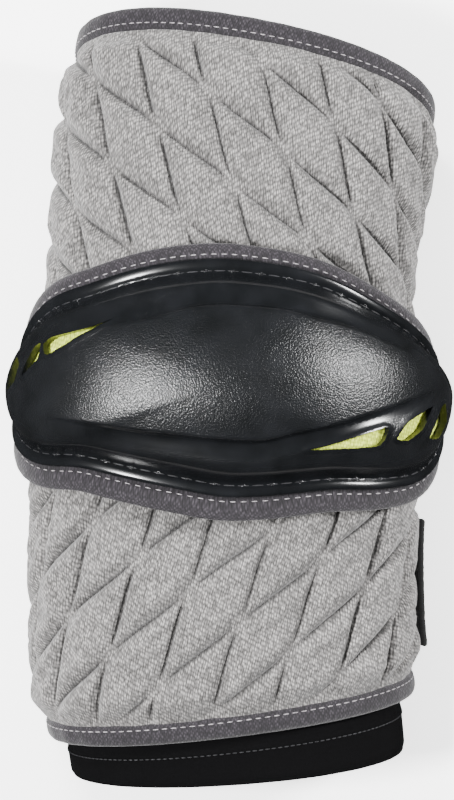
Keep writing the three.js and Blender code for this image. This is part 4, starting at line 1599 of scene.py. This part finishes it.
@dataclass
class ForearmStrap:
    """The brushed loop strap across the back of the forearm."""

    surface: ArmSurface
    at_share: float = 0.225
    width: float = 57.0
    thickness: float = 2.6
    start_deg: float = 102.0
    end_deg: float = 228.0
    stand_off: float = 13.6
    clear: float = 7.6

    def build(self, finishes: Finishes) -> bpy.types.Object:
        """The strip: it leaves the pad's edge high, eases down to the sleeve and is fuzzy all over.

        Args:
            finishes: The pad's materials.

        Returns:
            The piece's object.
        """
        start, end = np.radians(self.start_deg), np.radians(self.end_deg)
        middle_rows = np.linspace(1.4, self.width - 1.4, 46)
        across = np.concatenate([[0.0, 0.6], middle_rows, [self.width - 0.6, self.width]])
        v, t = np.meshgrid(across, np.linspace(start, end, 150), indexing="ij")
        off = GAP + self.stand_off * (1 - smoothstep(start, start + np.radians(55), t))
        off = np.where(t < start + np.radians(12), np.maximum(off, self.clear), off)
        u = (t - start) * 60
        fuzz = 0.16 * wobble(u, v, 14, 3.2, 21)
        round_edge = 0.9 * (1 - np.clip(np.minimum(v, self.width - v) / 1.4, 0, 1)) ** 2
        share = self.at_share + (v - self.width / 2) / self.surface.length
        outer = self.surface.point(share, t, off + self.thickness + np.minimum(fuzz, 0.1) - round_edge)
        inner = self.surface.point(share, t, off + round_edge)
        uv = np.stack([u, v], axis=-1)
        strap = grid_mesh("forearm_loop_strap", shell_grid(outer, inner), shell_grid(uv, uv))
        dress(strap, finishes.loop)
        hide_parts("forearm_strap")
        return strap


@dataclass
class Studio:
    """Pale floor, soft lights and the photograph's camera, straight above the pad."""

    image_px: tuple[int, int] = (454, 800)
    mm_per_px: float = 0.385
    plane_z: float = 45.0
    distance: float = 1500.0
    middle_px: tuple[float, float] = (229.2, 398.75)  # where the row's origin falls in the photograph

    def build(self) -> None:
        """Makes the floor, lights, sky and camera."""
        half = 1.6
        corners = [(-half, -half, 0), (half, -half, 0), (half, half, 0), (-half, half, 0)]
        mesh = bpy.data.meshes.new("studio_floor")
        mesh.from_pydata(corners, [], [(0, 1, 2, 3)])
        floor = link_object("studio_floor", mesh)
        floor.location.z = -0.0004
        mesh.materials.append(MattePaper().build())
        floor.visible_glossy = False  # keeps the white floor out of the black plastic's sides
        self.light("left_softbox", (-0.62, -0.12, 0.95), 0.2, 42.0)
        self.light("right_softbox", (0.95, 0.3, 0.72), 0.22, 38.0)
        overhead = self.light("overhead_fill", (0.0, 0.1, 1.9), 1.3, 18.0)
        key = self.light("key_from_above", (-0.7, 1.6, 1.35), 0.6, 84.0)
        for cloth_only in (overhead, key):
            cloth_only.visible_glossy = False  # lights the cloth without greying the black plastic
        world = bpy.data.worlds.new("studio_sky")
        world.use_nodes = True
        sky = world.node_tree.nodes["Background"]
        sky.inputs["Color"].default_value = (1.0, 1.0, 1.0, 1.0)
        sky.inputs["Strength"].default_value = 0.06
        bpy.context.scene.world = world
        self.camera()

    def light(
        self, name: str, place: tuple[float, float, float], size: float, power: float
    ) -> bpy.types.Object:
        """Adds a square area light aimed at the cap, and returns it.

        Args:
            name: The lamp's name.
            place: Its place in metres.
            size: Its side in metres.
            power: Its power in watts.

        Returns:
            The lamp.
        """
        data = bpy.data.lights.new(name, "AREA")
        data.size = size
        data.energy = power
        lamp = link_object(name, data)
        lamp.location = place
        from_target = np.array(place) - np.array([0.0, 0.0, 0.06])
        lamp.rotation_euler = (
            float(np.arccos(from_target[2] / np.linalg.norm(from_target))),
            0.0,
            float(np.arctan2(from_target[0], -from_target[1])),
        )
        return lamp

    def camera(self) -> None:
        """Adds the camera: its view is as high as the image at the pad's middle plane."""
        data = bpy.data.cameras.new("photo_camera")
        data.sensor_fit = "VERTICAL"
        data.sensor_height = 36.0
        data.lens = 36.0 * self.distance / (self.image_px[1] * self.mm_per_px)
        data.clip_start = 0.05
        data.clip_end = 20.0
        camera = link_object("photo_camera", data)
        x = (self.image_px[0] / 2 - self.middle_px[0]) * self.mm_per_px
        y = (self.middle_px[1] - self.image_px[1] / 2) * self.mm_per_px
        camera.location = (x * MM, y * MM, (self.plane_z + self.distance) * MM)
        bpy.context.scene.camera = camera


def main() -> None:
    """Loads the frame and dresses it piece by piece."""
    logging.basicConfig(level=logging.INFO, format="%(name)s: %(message)s")
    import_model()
    Studio().build()
    surface = ArmSurface()
    finishes = Finishes()
    bound = (BOUND_EDGE + GAP - TUCK) / surface.length
    split = PARTING / surface.length / 2
    elbow, wrist = surface.elbow_at, 0.07
    upper = QuiltedPad(
        surface,
        Hand.UPPER,
        start=elbow + split,
        end=1.0 - bound,
        left_deg=-102.0,
        right_deg=120.0,
        quilting=Quilting(
            Hand.UPPER,
            crossing_along=0.8989,
            crossing_round=-15.3,
            steep_pitch=24.58,
            slant_pitch=22.08,
            steep_lean=0.484,
            slant_rise=0.511,
        ),
    )
    lower = QuiltedPad(
        surface,
        Hand.LOWER,
        start=wrist + bound,
        end=elbow - split,
        left_deg=-118.0,
        right_deg=99.0,
        quilting=Quilting(
            Hand.LOWER,
            crossing_along=0.2232,
            crossing_round=6.24,
            steep_pitch=24.07,
            slant_pitch=24.75,
            steep_lean=0.387,
            slant_rise=0.643,
        ),
    )
    for pad in (upper, lower):
        pad.build_cover(finishes)
        pad.build_binding(finishes)
    cap = ElbowCap(surface)
    cap.build_rim(finishes)
    cap.build_liner(finishes)
    cap.build_shell(finishes)
    cap.build_stitching(finishes)
    ForearmStrap(surface).build(finishes)
    Sleeve(surface).build(finishes)


if __name__ == "__main__":
    main()
